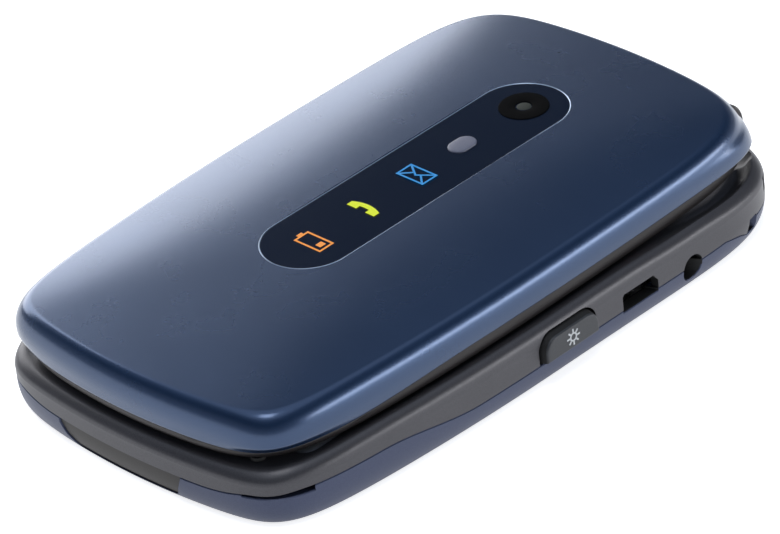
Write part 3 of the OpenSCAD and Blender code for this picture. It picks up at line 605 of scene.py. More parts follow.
def makeWindow():
    # rings shrink from the window's outline to a thin line along its middle
    reach = (lid["windowLength"] - lid["windowWidth"]) / 2
    half = lid["windowWidth"] / 2 - window["trim"]
    edge = stadiumFlat(2 * (reach + half), 2 * half, 48)
    core = np.column_stack([0 * edge[:, 0], np.clip(edge[:, 1], -reach, reach)])
    low = mix(core, edge, 0.9)
    parts = [(p[:, 0], p[:, 1] + lid["windowY"], window["low"]) for p in (low, edge)]
    for t in np.linspace(1, 0.01, window["rings"]):
        p = mix(core, edge, t)
        x, y = p[:, 0], p[:, 1] + lid["windowY"]
        parts.append((x, y, crownHeight(x, y) - window["sunk"]))
    return gridObject("windowPanel", stack(parts))


def makeTrim():
    # a slim rounded edge carried round the window's outline
    reach = (lid["windowLength"] - lid["windowWidth"]) / 2
    outer = lid["windowWidth"] / 2 - window["gap"] / 2
    inner = lid["windowWidth"] / 2 - window["trim"]
    parts = []
    proud = window["proud"]
    for half, lift in ((outer, -0.6), (outer, -0.08), (outer - 0.04, 0.0), (outer - 0.1, proud),
                       (inner + 0.06, proud * 0.4), (inner, -0.04), (inner, -0.6)):
        edge = stadiumFlat(2 * (reach + half), 2 * half, 64)
        x, y = edge[:, 0], edge[:, 1] + lid["windowY"]
        parts.append((x, y, crownHeight(x, y) + lift))
    return gridObject("windowTrim", stack(parts), "joined")


# the trim's colour is its own pale polished metal, raised so the trim also carries a painted
# highlight all round the window
finishes["window_trim"] = finish("trimMetalAndHighlight", (0.34, 0.42, 0.55), (0.44, 0.52, 0.65), 0.7, 0.3,
                                 0.05, 0.0)
dress(makeWindow(), finishes["window_black"], "lid", "window_black", "indicator_window")
dress(makeTrim(), finishes["window_trim"], "lid", "lens_glass")



def crownAt(y):
    # height of the lid on its middle line
    return float(crownHeight(np.array([0.0]), np.array([y]))[0])


camera = {"y": 28.13, "proud": 0.14}
top = crownAt(camera["y"]) + camera["proud"]
bezel = lathe("cameraBezel", [
    (0.4, 17.1), (3.66, 17.1), (3.69, top - 0.25), (3.66, top - 0.1), (3.58, top - 0.02),
    (3.4, top), (2.4, top - 0.01), (1.4, top - 0.03), (1.24, top - 0.08), (1.16, top - 0.2),
    (1.16, top - 0.95), (0.4, top - 0.95)], (0, camera["y"], 0), 128)
dress(bezel, finishes["bezel_black"], "lid", "bezel_black", "camera_bezel")
lens = lathe("cameraLens", [
    (0.3, 16.95), (1.12, 16.95), (1.14, top - 0.26), (1.1, top - 0.18), (0.9, top - 0.12),
    (0.6, top - 0.09), (0.3, top - 0.075), (0.02, top - 0.07)], (0, camera["y"], 0), 96)
dress(lens, finishes["lens_glass"], "lid", "lens_glass", "camera_lens")


lamp = {"length": 4.56, "width": 3.16, "y": 15.4, "low": 17.0}


def makeLamp():
    # oval pillow: rings shrink towards the middle as the top rises
    outer = stadiumFlat(lamp["length"], lamp["width"], 24)
    low, z0 = lamp["low"], crownAt(lamp["y"])
    rows = ((0.6, low), (1.0, low), (1.0, z0 - 0.06), (0.985, z0 - 0.01), (0.94, z0 + 0.02),
            (0.85, z0 + 0.035), (0.6, z0 + 0.05), (0.3, z0 + 0.06), (0.02, z0 + 0.06))
    return gridObject("lampLens", stack([(outer[:, 0] * scale, outer[:, 1] * scale + lamp["y"], z)
                                         for scale, z in rows]))


dress(makeLamp(), finishes["lamp_clear"], "lid", "lamp_clear", "lamp_lens")


# Lit signs under the window
def ribbon(path, width, closed=False):
    # a flat band of even width along a line of points: each point moved sideways both ways
    path = np.asarray(path, float)
    if closed:
        ahead, behind = np.roll(path, -1, 0) - path, path - np.roll(path, 1, 0)
    else:
        step = np.diff(path, axis=0)
        ahead, behind = np.vstack([step, step[-1:]]), np.vstack([step[:1], step])
    ahead /= np.linalg.norm(ahead, axis=1, keepdims=True)
    behind /= np.linalg.norm(behind, axis=1, keepdims=True)
    normal = np.column_stack([-(ahead + behind)[:, 1], (ahead + behind)[:, 0]])
    normal /= np.linalg.norm(normal, axis=1, keepdims=True)
    bend = np.clip((normal * np.column_stack([-ahead[:, 1], ahead[:, 0]])).sum(1), 0.5, 1)
    side = normal * (width / 2 / bend)[:, None]
    return path + side, path - side


def signObject(name, bands, height, thick=0.02):
    # each band is two lines of points; it becomes a thin closed strip that follows the height
    points, faces, start = [], [], 0
    for left, right, closed in bands:
        n = len(left)
        flat = np.vstack([left, right])
        z = height(flat[:, 0], flat[:, 1])
        points.append(np.column_stack([flat, z + thick]))
        points.append(np.column_stack([flat, z - thick]))
        i = np.arange(n if closed else n - 1)
        j = (i + 1) % n
        a, b, c, d = start + i, start + j, start + n + j, start + n + i
        under = 2 * n
        faces += np.stack([a, b, c, d], -1).tolist()
        faces += np.stack([a + under, d + under, c + under, b + under], -1).tolist()
        faces += np.stack([a, a + under, b + under, b], -1).tolist()
        faces += np.stack([d, c, c + under, d + under], -1).tolist()
        if not closed:
            e = start + n - 1
            faces += [[start, start + n, start + n + under, start + under],
                      [e, e + under, e + n + under, e + n]]
        start += 4 * n
    return makeObject(name, np.vstack(points), faces)


def lineBand(path, width, closed=False):
    # a line drawn with an even width
    left, right = ribbon(path, width, closed)
    return left, right, closed


def along(a, b, count=6):
    # even steps on the straight from a to b
    return np.linspace(a, b, count)


def onWindow(x, y):
    # height of the signs, a hair under the crown
    return crownHeight(x, y) - window["signSunk"]


signs = {"line": 0.30, "envelope": (-2.13, 2.83, 4.4, 7.22),
         "battery": (-1.72, 3.12, -16.36, -13.84)}    # x0, x1, y0, y1


def boxPath(x0, x1, y0, y1):
    # four straight sides, each without its last point
    spots = [(x0, y0), (x1, y0), (x1, y1), (x0, y1)]
    return np.vstack([along(a, b)[:-1] for a, b in zip(spots, spots[1:] + spots[:1])])


def envelopeBands():
    # a box, a flap folded to its middle and two short corner lines
    x0, x1, y0, y1 = signs["envelope"]
    w = signs["line"]
    mid = (x0 + x1) / 2
    return [lineBand(boxPath(x0, x1, y0, y1), w, True),
            lineBand(np.vstack([along((x0 + .2, y1 - .1), (mid, 5.55))[:-1],
                             along((mid, 5.55), (x1 - .2, y1 - .1))]), w),
            lineBand(along((x0 + .2, y0 + .1), (mid - .75, 5.85)), w),
            lineBand(along((x1 - .2, y0 + .1), (mid + .75, 5.85)), w)]


def handsetBands():
    # shallow arch y = top - x^2 / 11 of even height with a block under each end
    x = np.linspace(-2.65, 2.65, 25)

    def arch(x, drop):
        return np.column_stack([x + 0.4, -3.9 - x * x / 11 - drop])

    left, right = np.linspace(-2.65, -0.85, 6), np.linspace(0.95, 2.65, 6)
    return [(arch(x, 0.0), arch(x, 0.85), False),
            (arch(left, 0.8), np.column_stack([left + 0.4, 0 * left - 5.55]), False),
            (arch(right, 0.8), np.column_stack([right + 0.4, 0 * right - 5.6]), False)]


def batteryBands():
    # a box with a knob at one end and one filled bar
    return [lineBand(boxPath(*signs["battery"]), signs["line"], True),
            lineBand(along((-2.14, -15.5), (-2.14, -14.5)), 0.48),
            (along((1.49, -15.6), (2.46, -15.6), 2), along((1.49, -14.5), (2.46, -14.5), 2),
             False)]


def litFinish(name, colour):
    # a sign's colour with a weak glow of the same colour
    material = finish(name, colour, tuple(c * 1.05 for c in colour), 0.0, 0.3, 0.05, 0.0)
    shader = material.node_tree.nodes["Principled BSDF"]
    shader.inputs["Emission Color"].default_value = (*colour, 1)
    shader.inputs["Emission Strength"].default_value = 0.45
    return material


for name, bands, colour in (
        ("envelopeSign", envelopeBands(), (0.010, 0.21, 0.52)),
        ("handsetSign", handsetBands(), (0.58, 0.66, 0.006)),
        ("batterySign", batteryBands(), (0.78, 0.26, 0.03))):
    sign = signObject(name, bands, onWindow)
    dress(sign, litFinish(name + "Light", colour), "lid", "lamp_clear")
print("window: done")


# Base
base = {
    "wall": 1.4, "thick": 4.0, "ceiling": 7.8, "columnSpacing": 0.5,
    "filletWidth": 1.93, "filletHeight": 4.7,
    "blockY": 39.6, "blockZ": 5.1,
    "webFrom": 216.0, "webTo": 234.0, "tailGap": 0.3, "open": 155.0,
}
sockets = {"buttonY": 1.8, "usbY": 16.5, "jackY": 27.3, "jackZ": 3.5, "rockerY": 6.0}


def rearEdge(y):
    # edge of the rear cover: high at the free end's corners
    return (3.8 + 2 * ramp((-15 - y) / 18) - 0.4 * ramp((-46 - y) / 5)
            - 0.8 * ramp((-51.2 - y) / 1.6))


def strapDip(x, y, edge, yEnd):
    # beside the strap's hole the edge falls to 1.9 on the socket side
    dip = np.interp(y, [34.5, 38.0, 40.2], [3.8, 2.9, 1.9])
    inside = (x > 28.3) & (y > 34.5) & (y < yEnd)
    return np.where(inside, np.minimum(edge, dip), edge)


def bottomInset(z):
    # quarter ellipse under the base
    k = np.clip(1 - z / base["filletHeight"], 0, 1)
    return base["filletWidth"] * (1 - np.sqrt(1 - k * k))


def topDrop(y):
    # the top edge is lower towards both ends
    return (0.5 * ramp((-y - 30) / 20) + 0.4 * ramp((-y - 46) / 6)
            + 0.25 * ramp((y - 14) / 12) + 0.5 * ramp((y - 28) / 14))


def grooveDepth(y):
    # the groove on the ridge deepens from the middle to the hinge end by the smooth step
    return 1.1 * ramp((y - 20) / 18)


ridgeKeys = [  # inset, height, share of the drop, share of the groove
    (4.3, 9.0, 0.0, 0.0), (3.3, 9.0, 0.2, 1.0), (2.3, 9.25, 0.7, 0.75), (1.5, 9.5, 1.0, 0.0),
    (1.0, 9.36, 1.0, 0.0), (0.5, 8.95, 1.0, 0.0), (0.16, 8.3, 0.8, 0.0), (0.0, 7.4, 0.4, 0.0),
    (0.0, 6.7, 0.0, 0.0)]


def tailReach(d):
    # farthest reach of the lid's rounded end from the hinge axis
    rim = lid["rim"]
    level = lid["height"] - lid["crown"] - rim - lid["hingeZ"]
    return np.hypot(d - rim, level) + rim + base["tailGap"]


# distance from the hinge axis that the lid's rounded corners need, by their place across
cornerReach = {"across": [21.0, 22.0, 24.0, 24.6, 25.1, 25.6],
               "reach": [5.3, 5.1, 5.0, 4.75, 4.4, 3.5]}


def tailPocket():
    # the lid's end turned about the hinge axis, as a lathe whose radius follows its outline
    angle = np.linspace(np.pi - 0.02, 0.02, 4001)
    x, y = outline(lidShape, angle)
    middle = np.linspace(-20.0, 20.0, 61)
    past = np.interp(middle, x, y) - lid["hingeY"]
    across = np.array(cornerReach["across"])
    reach = np.array(cornerReach["reach"])
    profile = np.column_stack([np.concatenate([reach[::-1], tailReach(past), reach]),
                               np.concatenate([-across[::-1], middle, across])])
    turned = lathe("pocket", profile, (0, lid["hingeY"], lid["hingeZ"]), 128, "x")
    a = np.radians(base["open"])
    roof = lid["height"] - 0.8 * lid["crown"] - lid["hingeZ"] + base["tailGap"]
    y0, z0 = lid["hingeY"] + roof * np.sin(a), lid["hingeZ"] + roof * np.cos(a)
    slope = [(y0, z0), (y0 - 20 * np.cos(a), z0 + 20 * np.sin(a)),
             (lid["hingeY"], lid["hingeZ"] + 12)]
    return [turned, prism("slope", slope, -across[0], across[0], "x")]


def dShape(y0, y1, z0, z1, radius, steps=12):
    # straight below, round above
    right = circle(radius, steps, 0, 90) + [y1 - radius, z1 - radius]
    left = circle(radius, steps, 90, 180) + [y0 + radius, z1 - radius]
    return np.vstack([[[y0, z0], [y1, z0]], right, left])


digitNames = ["key_star", "key_0", "key_hash", "key_7", "key_8", "key_9", "key_4", "key_5",
              "key_6", "key_1", "key_2", "key_3"]
keys = {"pitchX": 17.8, "pitchY": 14.0, "firstY": -37.5, "width": 16.0, "length": 11.8,
        "gap": 0.25, "soft": (13.0, 9.0), "navY": 27.4, "navRadius": 9.2, "okRadius": 4.6}
keySpots = {name: ((i % 3 - 1) * keys["pitchX"], keys["firstY"] + i // 3 * keys["pitchY"],
                   keys["width"], keys["length"]) for i, name in enumerate(digitNames)}
for name, x, y in (("soft_key_left", -19.6, 33.4), ("soft_key_right", 19.6, 33.4),
                   ("call_key", -19.6, 21.4), ("end_key", 19.6, 21.4)):
    keySpots[name] = (x, y, *keys["soft"])


def usbFlat():
    # outline of the charging socket in Y and Z: straight below, slanted above
    y = sockets["usbY"]
    return [(y - 3.6, 3.3), (y + 3.6, 3.3), (y + 3.6, 5.3), (y + 2.7, 6.4), (y - 3.3, 6.4),
            (y - 3.6, 6.0)]


def jackCutter():
    # round hole that widens a little outwards
    return lathe("jackHole", [(1.85, 28.0), (2.07, 36.0)], (0, sockets["jackY"], sockets["jackZ"]),
                 64, "x")


def makeFrontHousing():
    # ridge rows, side rows down to the edge and the ceiling inside, then block, pocket,
    # knuckle and openings
    angle = evenAngles(baseShape, base["columnSpacing"])
    parts = [row(baseShape, angle, inset,
                 lambda x, y: z - share * topDrop(y) - dip * grooveDepth(y))
             for inset, z, share, dip in smoothRows(ridgeKeys, 5)]
    for t in np.linspace(0, 1, 9)[1:]:
        x, y = outline(baseShape, angle, 0.0)
        edge = strapDip(x, y, rearEdge(y), 40.2) + 0.03
        z = mix(6.7, edge + 0.1, t)
        x, y = outline(baseShape, angle, bottomInset(z))
        parts.append((x, y, z))
    for inset, lift in ((0.1, 0.0), (base["wall"], 0.0)):
        x, y = outline(baseShape, angle, 0.0)
        edge = strapDip(x, y, rearEdge(y), 40.2) + 0.03
        x, y = outline(baseShape, angle, bottomInset(edge) + inset)
        parts.append((x, y, edge + lift))
    # the ceiling is lower under the groove beside the hinge
    parts += [row(baseShape, angle, inset, lambda x, y: mix(
        base["ceiling"] - 0.02 - 1.5 * ramp((y - 18) / 6), base["ceiling"], rise))
              for inset, rise in ((base["wall"], 0.0), (base["thick"], 0.0),
                                  (base["thick"], 1.0), (8.0, 1.0))]
    housing = gridObject("frontHousing", stack(parts), sharp=30)
    # solid block that carries the hinge, in two steps that stay under the groove
    blocks = []
    for inset, top in ((base["wall"] - 0.05, 6.4), (base["thick"] + 0.05, base["ceiling"] + 0.2)):
        x, y = outline(baseShape, evenAngles(baseShape, 1.0), inset)
        keep = y > base["blockY"]
        order = np.argsort(x[keep])
        rim = np.column_stack([x[keep][order], y[keep][order]])
        flat = np.vstack([[[rim[-1, 0], base["blockY"]], [rim[0, 0], base["blockY"]]], rim])
        blocks.append(prism("block", flat, base["blockZ"] - 0.1 * len(blocks), top))
    carve(housing, blocks, "UNION", 30)
    carve(housing, tailPocket(), sharp=30)
    # knuckle and the web under it
    y0, z0 = lid["hingeY"], lid["hingeZ"]
    half, r = lid["knuckleHalf"], lid["knuckle"]
    web = [(base["webFrom"], 3.2), (base["webFrom"], 6.4), (base["webFrom"] + 4, 7.8),
           (base["webTo"] + 2, 8.0), (base["webTo"], 6.3), (base["webTo"], 3.2)]
    flat = [(y0 + d * np.cos(np.radians(a)), z0 + d * np.sin(np.radians(a))) for a, d in web]
    knuckle = lathe("knuckle", barrel(r, half, 0.25), (0, y0, z0), 128, "x")
    carve(housing, [knuckle, prism("web", flat, -half + 0.1, half - 0.1, "x")], "UNION", 30)
    gap = keys["gap"]
    cutters = [prism("opening", roundedFlat(w + 2 * gap, l + 2 * gap, 2.4, 10, (x, y)), 6.0, 20.0)
               for x, y, w, l in keySpots.values()]
    nav = circle(keys["navRadius"] + gap, 96) + [0, keys["navY"]]
    b, k = sockets["buttonY"], sockets["rockerY"]
    cutters += [
        prism("navHole", nav, 6.0, 20.0),
        lathe("bore", [(3.0, -half - 1), (3.0, half + 1)], (0, y0, z0), 96, "x"),
        prism("button", dShape(b - 5.9, b + 5.7, 3.7, 8.4, 2.6), 28.0, 34.0, "x"),
        prism("rocker", dShape(k - 10.5, k + 10.5, 4.1, 7.9, 1.6), -34.0, -28.0, "x"),
        prism("usb", usbFlat(), 29.0, 34.0, "x"),
        jackCutter(),
        prism("strapA", roundedFlat(2.3, 5.6, 0.1, centre=(27.35, 43.1)), 1.8, 6.9),
        prism("strapB", roundedFlat(8.0, 1.9, 0.1, centre=(30.2, 41.25)), 1.8, 4.2),
        prism("strapC", strapSlot(), 5.3, 7.5),
    ]
    cutters += [prism("mic", circle(0.45, 20) + [x, -47.5], 5.0, 20.0) for x in (-1.2, 1.2)]
    return carve(housing, cutters, sharp=30)


def strapSlot():
    # slanted slot through the hinge corner
    a = np.radians(47.0)
    box = np.array([(0, -1), (8, -1), (8, 0.8), (0, 0.8)], float)
    turn = np.array([[np.cos(a), -np.sin(a)], [np.sin(a), np.cos(a)]])
    return box @ turn.T + [26.2, 44.6]


def shadeHoleWalls(piece):
    # painted shade: the walls of the openings take a black material that stands for the shade
    # inside
    # the sockets and the strap hole: faces that lie within an opening's outline in Y and Z and
    # don't look outwards
    mesh = piece.data
    mesh.materials.append(finishes["rubber_black"])
    x, y, z = (readTriples(mesh.polygons, "center") / mm).T
    away = np.abs(readTriples(mesh.polygons, "normal")[:, 0]) < 0.6
    usb = (np.abs(y - sockets["usbY"]) < 3.68) & (z > 3.2) & (z < 6.48)
    jack = np.hypot(y - sockets["jackY"], z - sockets["jackZ"]) < 2.2
    strap = (y > 40.2) & (y < 46.2) & (z > 1.7) & (z < 7.6) & (x < 31.0)
    inside = away & (x > 25.5) & (usb | jack | strap)
    mesh.polygons.foreach_set("material_index", inside.astype(np.int32))
    mesh.update()
    return piece


# the housing's socket and strap hole walls get painted shade
shadeHoleWalls(dress(makeFrontHousing(), finishes["housing_grey"], "base", "housing_grey",
                   "front_housing"))
print("base: front housing done")

cover = {"wall": 2.05, "floor": 1.05, "chamfer": 0.13, "columnSpacing": 0.5,
         "rowY": 30.5,           # middle of the sound slots and of the rear button
         "slot": (9.0, 0.9, 0.44), "slotX": -15.5, "slotSteps": (-4, -2, 0, 2, 4)}


def cutOut(x):
    # height of the cut-out's lower edge at the free end, as drawn in X and Z
    return np.interp(x, [-13.4, -13.39, -12.4, -10.6, 9.4, 10.2, 10.79, 10.8],
                     [9.0, 4.0, 2.2, 0.8, 0.8, 3.0, 4.4, 9.0])


def coverEdgeRear(x, y):
    # edge height of the rear cover with its cut-out, pry notch, strap dip and sockets
    edge = rearEdge(y)
    edge = np.where(y < -50, np.minimum(edge, cutOut(x)), edge)
    u = ((x - 24.6) - (y + 48)) * np.sqrt(0.5)
    v = ((x - 24.6) + (y + 48)) * np.sqrt(0.5)
    edge = np.where((u > -1) & (np.abs(v) < 5), np.minimum(edge, 5.0), edge)
    edge = strapDip(x, y, edge, 42.4)
    right = x > 25
    edge = np.where(right & (np.abs(y - sockets["usbY"]) < 3.6), np.minimum(edge, 3.45), edge)
    reach = 1.95 ** 2 - (y - sockets["jackY"]) ** 2
    dip = sockets["jackZ"] - np.sqrt(np.maximum(reach, 0))
    return np.where(right & (reach > 0), np.minimum(edge, dip), edge)


def coverAngles():
    # even directions, with close pairs where the edge steps
    even = evenAngles(baseShape, cover["columnSpacing"])
    fine = np.linspace(0, 2 * np.pi, 200001)
    x, y = outline(baseShape, fine)
    jump = np.abs(np.diff(coverEdgeRear(x, y))) > 0.05
    steps = (fine[:-1][jump] + fine[1:][jump]) / 2
    marks = [steps - 2e-5, steps + 2e-5]
    near = (x > 25) & (np.abs(y - sockets["jackY"]) < 2.2)
    marks.append(fine[near][::12])
    return np.unique(np.concatenate([even, *marks]))


def makeRearCover():
    # rows up the quarter ellipse to the shaped edge and down the inner wall to the floor
    angle = coverAngles()
    x0, y0 = outline(baseShape, angle)
    edge = coverEdgeRear(x0, y0)
    c = cover["chamfer"]
    low = (0.0, 0.12, 0.3, 0.55, 0.78)
    parts = [row(baseShape, angle, bottomInset(np.array(z)), z) for z in low]
    for t in np.linspace(0, 1, 9)[1:]:
        z = mix(low[-1], edge - c, t)
        x, y = outline(baseShape, angle, bottomInset(z))
        parts.append((x, y, z))
    for inset in (c, cover["wall"]):
        x, y = outline(baseShape, angle, bottomInset(edge) + inset)
        parts.append((x, y, edge))
    parts += [row(baseShape, angle, inset, cover["floor"]) for inset in (cover["wall"], 6.0)]
    shell = gridObject("rearCover", stack(parts), sharp=30)
    slots = [prism("slot", roundedFlat(*cover["slot"], centre=(cover["slotX"], cover["rowY"] + y)),
                   -1.0, 3.0) for y in cover["slotSteps"]]
    dish = lathe("dish", [(6.42, -0.3), (6.4, 0.0), (6.1, 0.16), (4.9, 0.44), (4.65, 0.5),
                          (4.65, 3.0)], (0, cover["rowY"], 0), 96)
    return carve(shell, slots + [dish], sharp=30)


# the rear cover's socket walls get painted shade
shadeHoleWalls(dress(makeRearCover(), finishes["cover_blue"], "base", "cover_blue", "rear_cover"))
print("base: rear cover done")


endPanel = {"inset": 0.25, "thick": 0.9}


def makeEndPanel():
    # bridge that shows in the cut-out: it follows the base's end a little inside it
    panelX = np.linspace(-13.2, 10.6, 49)
    x, y = outline(baseShape, np.linspace(-np.pi + 0.3, -0.3, 8001), endPanel["inset"])
    face = np.interp(panelX, x, y)
    high = rearEdge(np.full_like(panelX, -53.0)) - 0.02
    low = np.minimum(np.maximum(cutOut(panelX) + 0.15, 0.95), high - 0.05)
    levels = [mix(low, high, t) for t in np.linspace(0, 1, 9)]
    front = np.array([np.column_stack([panelX, face + bottomInset(z), z]) for z in levels])
    back = front + np.array([0, endPanel["thick"], 0])
    loop = np.concatenate([front, back[::-1]], 0)
    return gridObject("endPanel", loop.transpose(1, 0, 2))


dress(makeEndPanel(), finishes["chassis_grey"], "base", "chassis_grey")
print("base: end panel done")


# Keys and buttons
def turnOut(piece):
    # several closed islands in one mesh, each turned to face outwards
    work = bmesh.new()
    work.from_mesh(piece.data)
    bmesh.ops.recalc_face_normals(work, faces=work.faces)
    work.to_mesh(piece.data)
    work.free()
    return piece


def joinPieces(name, pieces, sharp=35.0):
    # closed shells kept side by side in one mesh
    work = bmesh.new()
    for piece in pieces:
        work.from_mesh(piece.data)
        bpy.data.objects.remove(piece)
    mesh = bpy.data.meshes.new(name)
    work.to_mesh(mesh)
    work.free()
    mesh.shade_smooth()
    mesh.set_sharp_from_angle(angle=np.radians(sharp))
    whole = bpy.data.objects.new(name, mesh)
    bpy.context.scene.collection.objects.link(whole)
    return whole


keyCap = {"top": 9.35, "low": 7.05, "flange": 0.6, "flangeTop": 7.72, "plunger": 6.67,
          "plungerRadius": 1.3, "corner": 2.2, "fall": 0.005, "edge": 0.42, "lift": 0.025,
          "digitLift": 0.09, "digitSize": 7.6, "starSize": 9.5, "barHalf": 1.9, "barWidth": 0.55}


def pillow(x, y):
    # top of a key above its own middle: z = top - fall*x^2 - 1.6*fall*y^2
    return keyCap["top"] - keyCap["fall"] * x * x - 1.6 * keyCap["fall"] * y * y


def makeKey(name):
    # plunger, flange and cap as rings, then rings that shrink to the middle of the pillow
    cx, cy, width, length = keySpots[name]
    steps, k = 10, keyCap
    stem = roundedFlat(2 * k["plungerRadius"], 2 * k["plungerRadius"], k["plungerRadius"] - 0.001,
                       steps)
    skirt = roundedFlat(width + 2 * k["flange"], length + 2 * k["flange"], 2.4, steps)
    parts = [(stem, k["plunger"]), (stem, k["low"]), (skirt, k["low"]), (skirt, k["flangeTop"]),
             (roundedFlat(width, length, k["corner"], steps), k["flangeTop"])]
    rows = [(p[:, 0], p[:, 1], z) for p, z in parts]
    for a in np.linspace(0, np.pi / 2, 6):
        inset = k["edge"] * (1 - np.cos(a))
        p = roundedFlat(width - 2 * inset, length - 2 * inset, k["corner"] - inset, steps)
        rows.append((p[:, 0], p[:, 1], pillow(p[:, 0], p[:, 1]) - k["edge"] * (1 - np.sin(a))))
    for scale in np.linspace(0.94, 0.02, 12):
        q = p * scale
        rows.append((q[:, 0], q[:, 1], pillow(q[:, 0], q[:, 1])))
    return gridObject(name + "Cap", stack(rows) + [cx, cy, 0])


def raisedText(name, text, size, cx, cy, height):
    # flat letters made a mesh, then laid on a surface with their sides sunk into it
    curve = bpy.data.curves.new(name, "FONT")
    curve.body = text
    curve.size = size
    curve.extrude = 0.5
    curve.align_x = "CENTER"
    curve.align_y = "CENTER"
    flat = bpy.data.objects.new(name + "Flat", curve)
    bpy.context.scene.collection.objects.link(flat)
    bpy.context.view_layer.update()
    mesh = bpy.data.meshes.new_from_object(flat.evaluated_get(
        bpy.context.evaluated_depsgraph_get()))
    bpy.data.objects.remove(flat)
    bpy.data.curves.remove(curve)
    work = bmesh.new()
    work.from_mesh(mesh)
    bmesh.ops.remove_doubles(work, verts=work.verts, dist=1e-4)
    bmesh.ops.recalc_face_normals(work, faces=work.faces)
    work.to_mesh(mesh)
    work.free()
    points = readTriples(mesh.vertices, "co")
    low, high = points[:, :2].min(0), points[:, :2].max(0)
    points[:, :2] -= (low + high) / 2
    side = points[:, 2] > 0
    points[:, 2] = height(points[:, 0], points[:, 1]) + np.where(side, keyCap["digitLift"], -0.03)
    points[:, :2] += [cx, cy]
    mesh.vertices.foreach_set("co", (points * mm).ravel())
    mesh.update()
    piece = bpy.data.objects.new(name, mesh)
    bpy.context.scene.collection.objects.link(piece)
    return piece


def onKey(cx, cy):
    # the pillow of the key whose middle is at (cx, cy)
    return lambda x, y: pillow(x - cx, y - cy)


def discBands(cx, cy, radius, width, count=32):
    # ring of even width
    return [(circle(radius + width / 2, count) + [cx, cy],
             circle(radius - width / 2, count) + [cx, cy], True)]


def handsetKeyBands(cx, cy, turned):
    # the handset of the window, twice as large, upright or turned over
    size = 2.0 * (-1 if turned else 1)
    move = [cx, cy]
    return [((a - [0.4, -4.75]) * size + move, (b - [0.4, -4.75]) * size + move, closed)
            for a, b, closed in handsetBands()]


finishes["key_print"] = finish("keyPrint", (0.78, 0.79, 0.80), (0.84, 0.85, 0.86), 0.0, 0.4, 0.06,
                               0.0)
digitTexts = {"key_star": "*", "key_hash": "#"}
for name, (cx, cy, width, length) in keySpots.items():
    dress(makeKey(name), finishes[slotOf[name]], name, slotOf[name], name)
    if name.startswith("key_"):
        text = digitTexts.get(name, name[-1])
        size = keyCap["starSize"] if text == "*" else keyCap["digitSize"]
        sign = raisedText(name + "Digit", text, size, cx, cy, pillow)
    elif name.startswith("soft"):
        half = keyCap["barHalf"]
        bar = [lineBand(along((cx - half, cy), (cx + half, cy), 12), keyCap["barWidth"])]
        sign = turnOut(signObject(name + "Bar", bar, onKey(cx, cy), keyCap["lift"]))
    else:
        bands = handsetKeyBands(cx, cy, name == "end_key")
        sign = turnOut(signObject(name + "Handset", bands, onKey(cx, cy), keyCap["lift"]))
    dress(sign, finishes["key_print"], name, "key_grey")


def makeNavRing():
    # ring with a rounded crest and a dished inner edge, on four plungers
    top, low, nav, ok = keyCap["top"], keyCap["low"], keys["navRadius"], keys["okRadius"]
    crest = [(nav - 0.3 * (1 - np.cos(a)), top - 0.45 + 0.3 * np.sin(a))
             for a in np.linspace(0, np.pi / 2, 6)]
    brim, step = nav + keyCap["flange"], keyCap["flangeTop"]
    profile = [(ok + 0.25, low), (brim, low), (brim, step), (nav, step), *crest,
               (nav - 1.0, top - 0.05), (nav - 1.8, top), (ok + 1.4, top - 0.12),
               (ok + 0.6, top - 0.3), (ok + 0.3, top - 0.42), (ok + 0.25, top - 0.6)]
    shells = [lathe("navBody", profile, (0, keys["navY"], 0), 128, ends="joined")]
    for a in np.radians([45, 135, 225, 315]):
        shells.append(lathe("navFoot", [(0.02, keyCap["plunger"]), (1.0, keyCap["plunger"]),
                                        (1.0, low + 0.1), (0.02, low + 0.1)],
                            (6.8 * np.cos(a), keys["navY"] + 6.8 * np.sin(a), 0), 24))
    return joinPieces("navRing", shells)


def makeOkKey():
    # round cap, its top a shallow dome z = top - r^2/80
    top, low, r = keyCap["top"], keyCap["low"], keys["okRadius"]
    foot = keyCap["plungerRadius"]
    profile = [(0.02, keyCap["plunger"]), (foot, keyCap["plunger"]), (foot, low), (r, low)]
    profile += [(r - 0.3 * (1 - np.cos(a)), top - r * r / 80 - 0.3 + 0.3 * np.sin(a))
                for a in np.linspace(0, np.pi / 2, 6)]
    profile += [(q, top - q * q / 80) for q in np.linspace(r - 0.6, 0.02, 8)]
    return lathe("okKeyCap", profile, (0, keys["navY"], 0), 96)


def arrowBands(reach):
    # a small triangle towards each side, drawn as two lines that meet
    bands = []
    for a in np.radians([0, 90, 180, 270]):
        out, side = np.array([np.cos(a), np.sin(a)]), np.array([-np.sin(a), np.cos(a)])
        tip = out * (reach + 0.45) + [0, keys["navY"]]
        low = out * (reach - 0.35) + [0, keys["navY"]]
        line = np.vstack([along(low + side * 0.8, tip, 5)[:-1], along(tip, low - side * 0.8, 5)])
        bands.append(lineBand(line, 0.32))
    return bands


def onNavRing(x, y):
    # crest of the ring between its inner and outer edge
    r = np.hypot(x, y - keys["navY"])
    return np.interp(r, [6.0, 7.4, 8.2, 9.2],
                     keyCap["top"] + np.array([-0.12, 0.0, -0.05, -0.15]))


dress(makeNavRing(), finishes["nav_silver"], "nav_ring", slotOf["nav_ring"], "nav_ring")
dress(makeOkKey(), finishes[slotOf["ok_key"]], "ok_key", slotOf["ok_key"], "ok_key")
dress(turnOut(signObject("navArrows", arrowBands(7.1), onNavRing, 0.03)), finishes["bezel_black"],
      "nav_ring", "key_grey")
dress(turnOut(signObject("okRingSign", discBands(0, keys["navY"], 1.5, 0.35),
                         lambda x, y: keyCap["top"] - (x * x + (y - keys["navY"]) ** 2) / 80,
                         0.025)), finishes["key_print"], "ok_key", "key_grey")
print("keys: done")

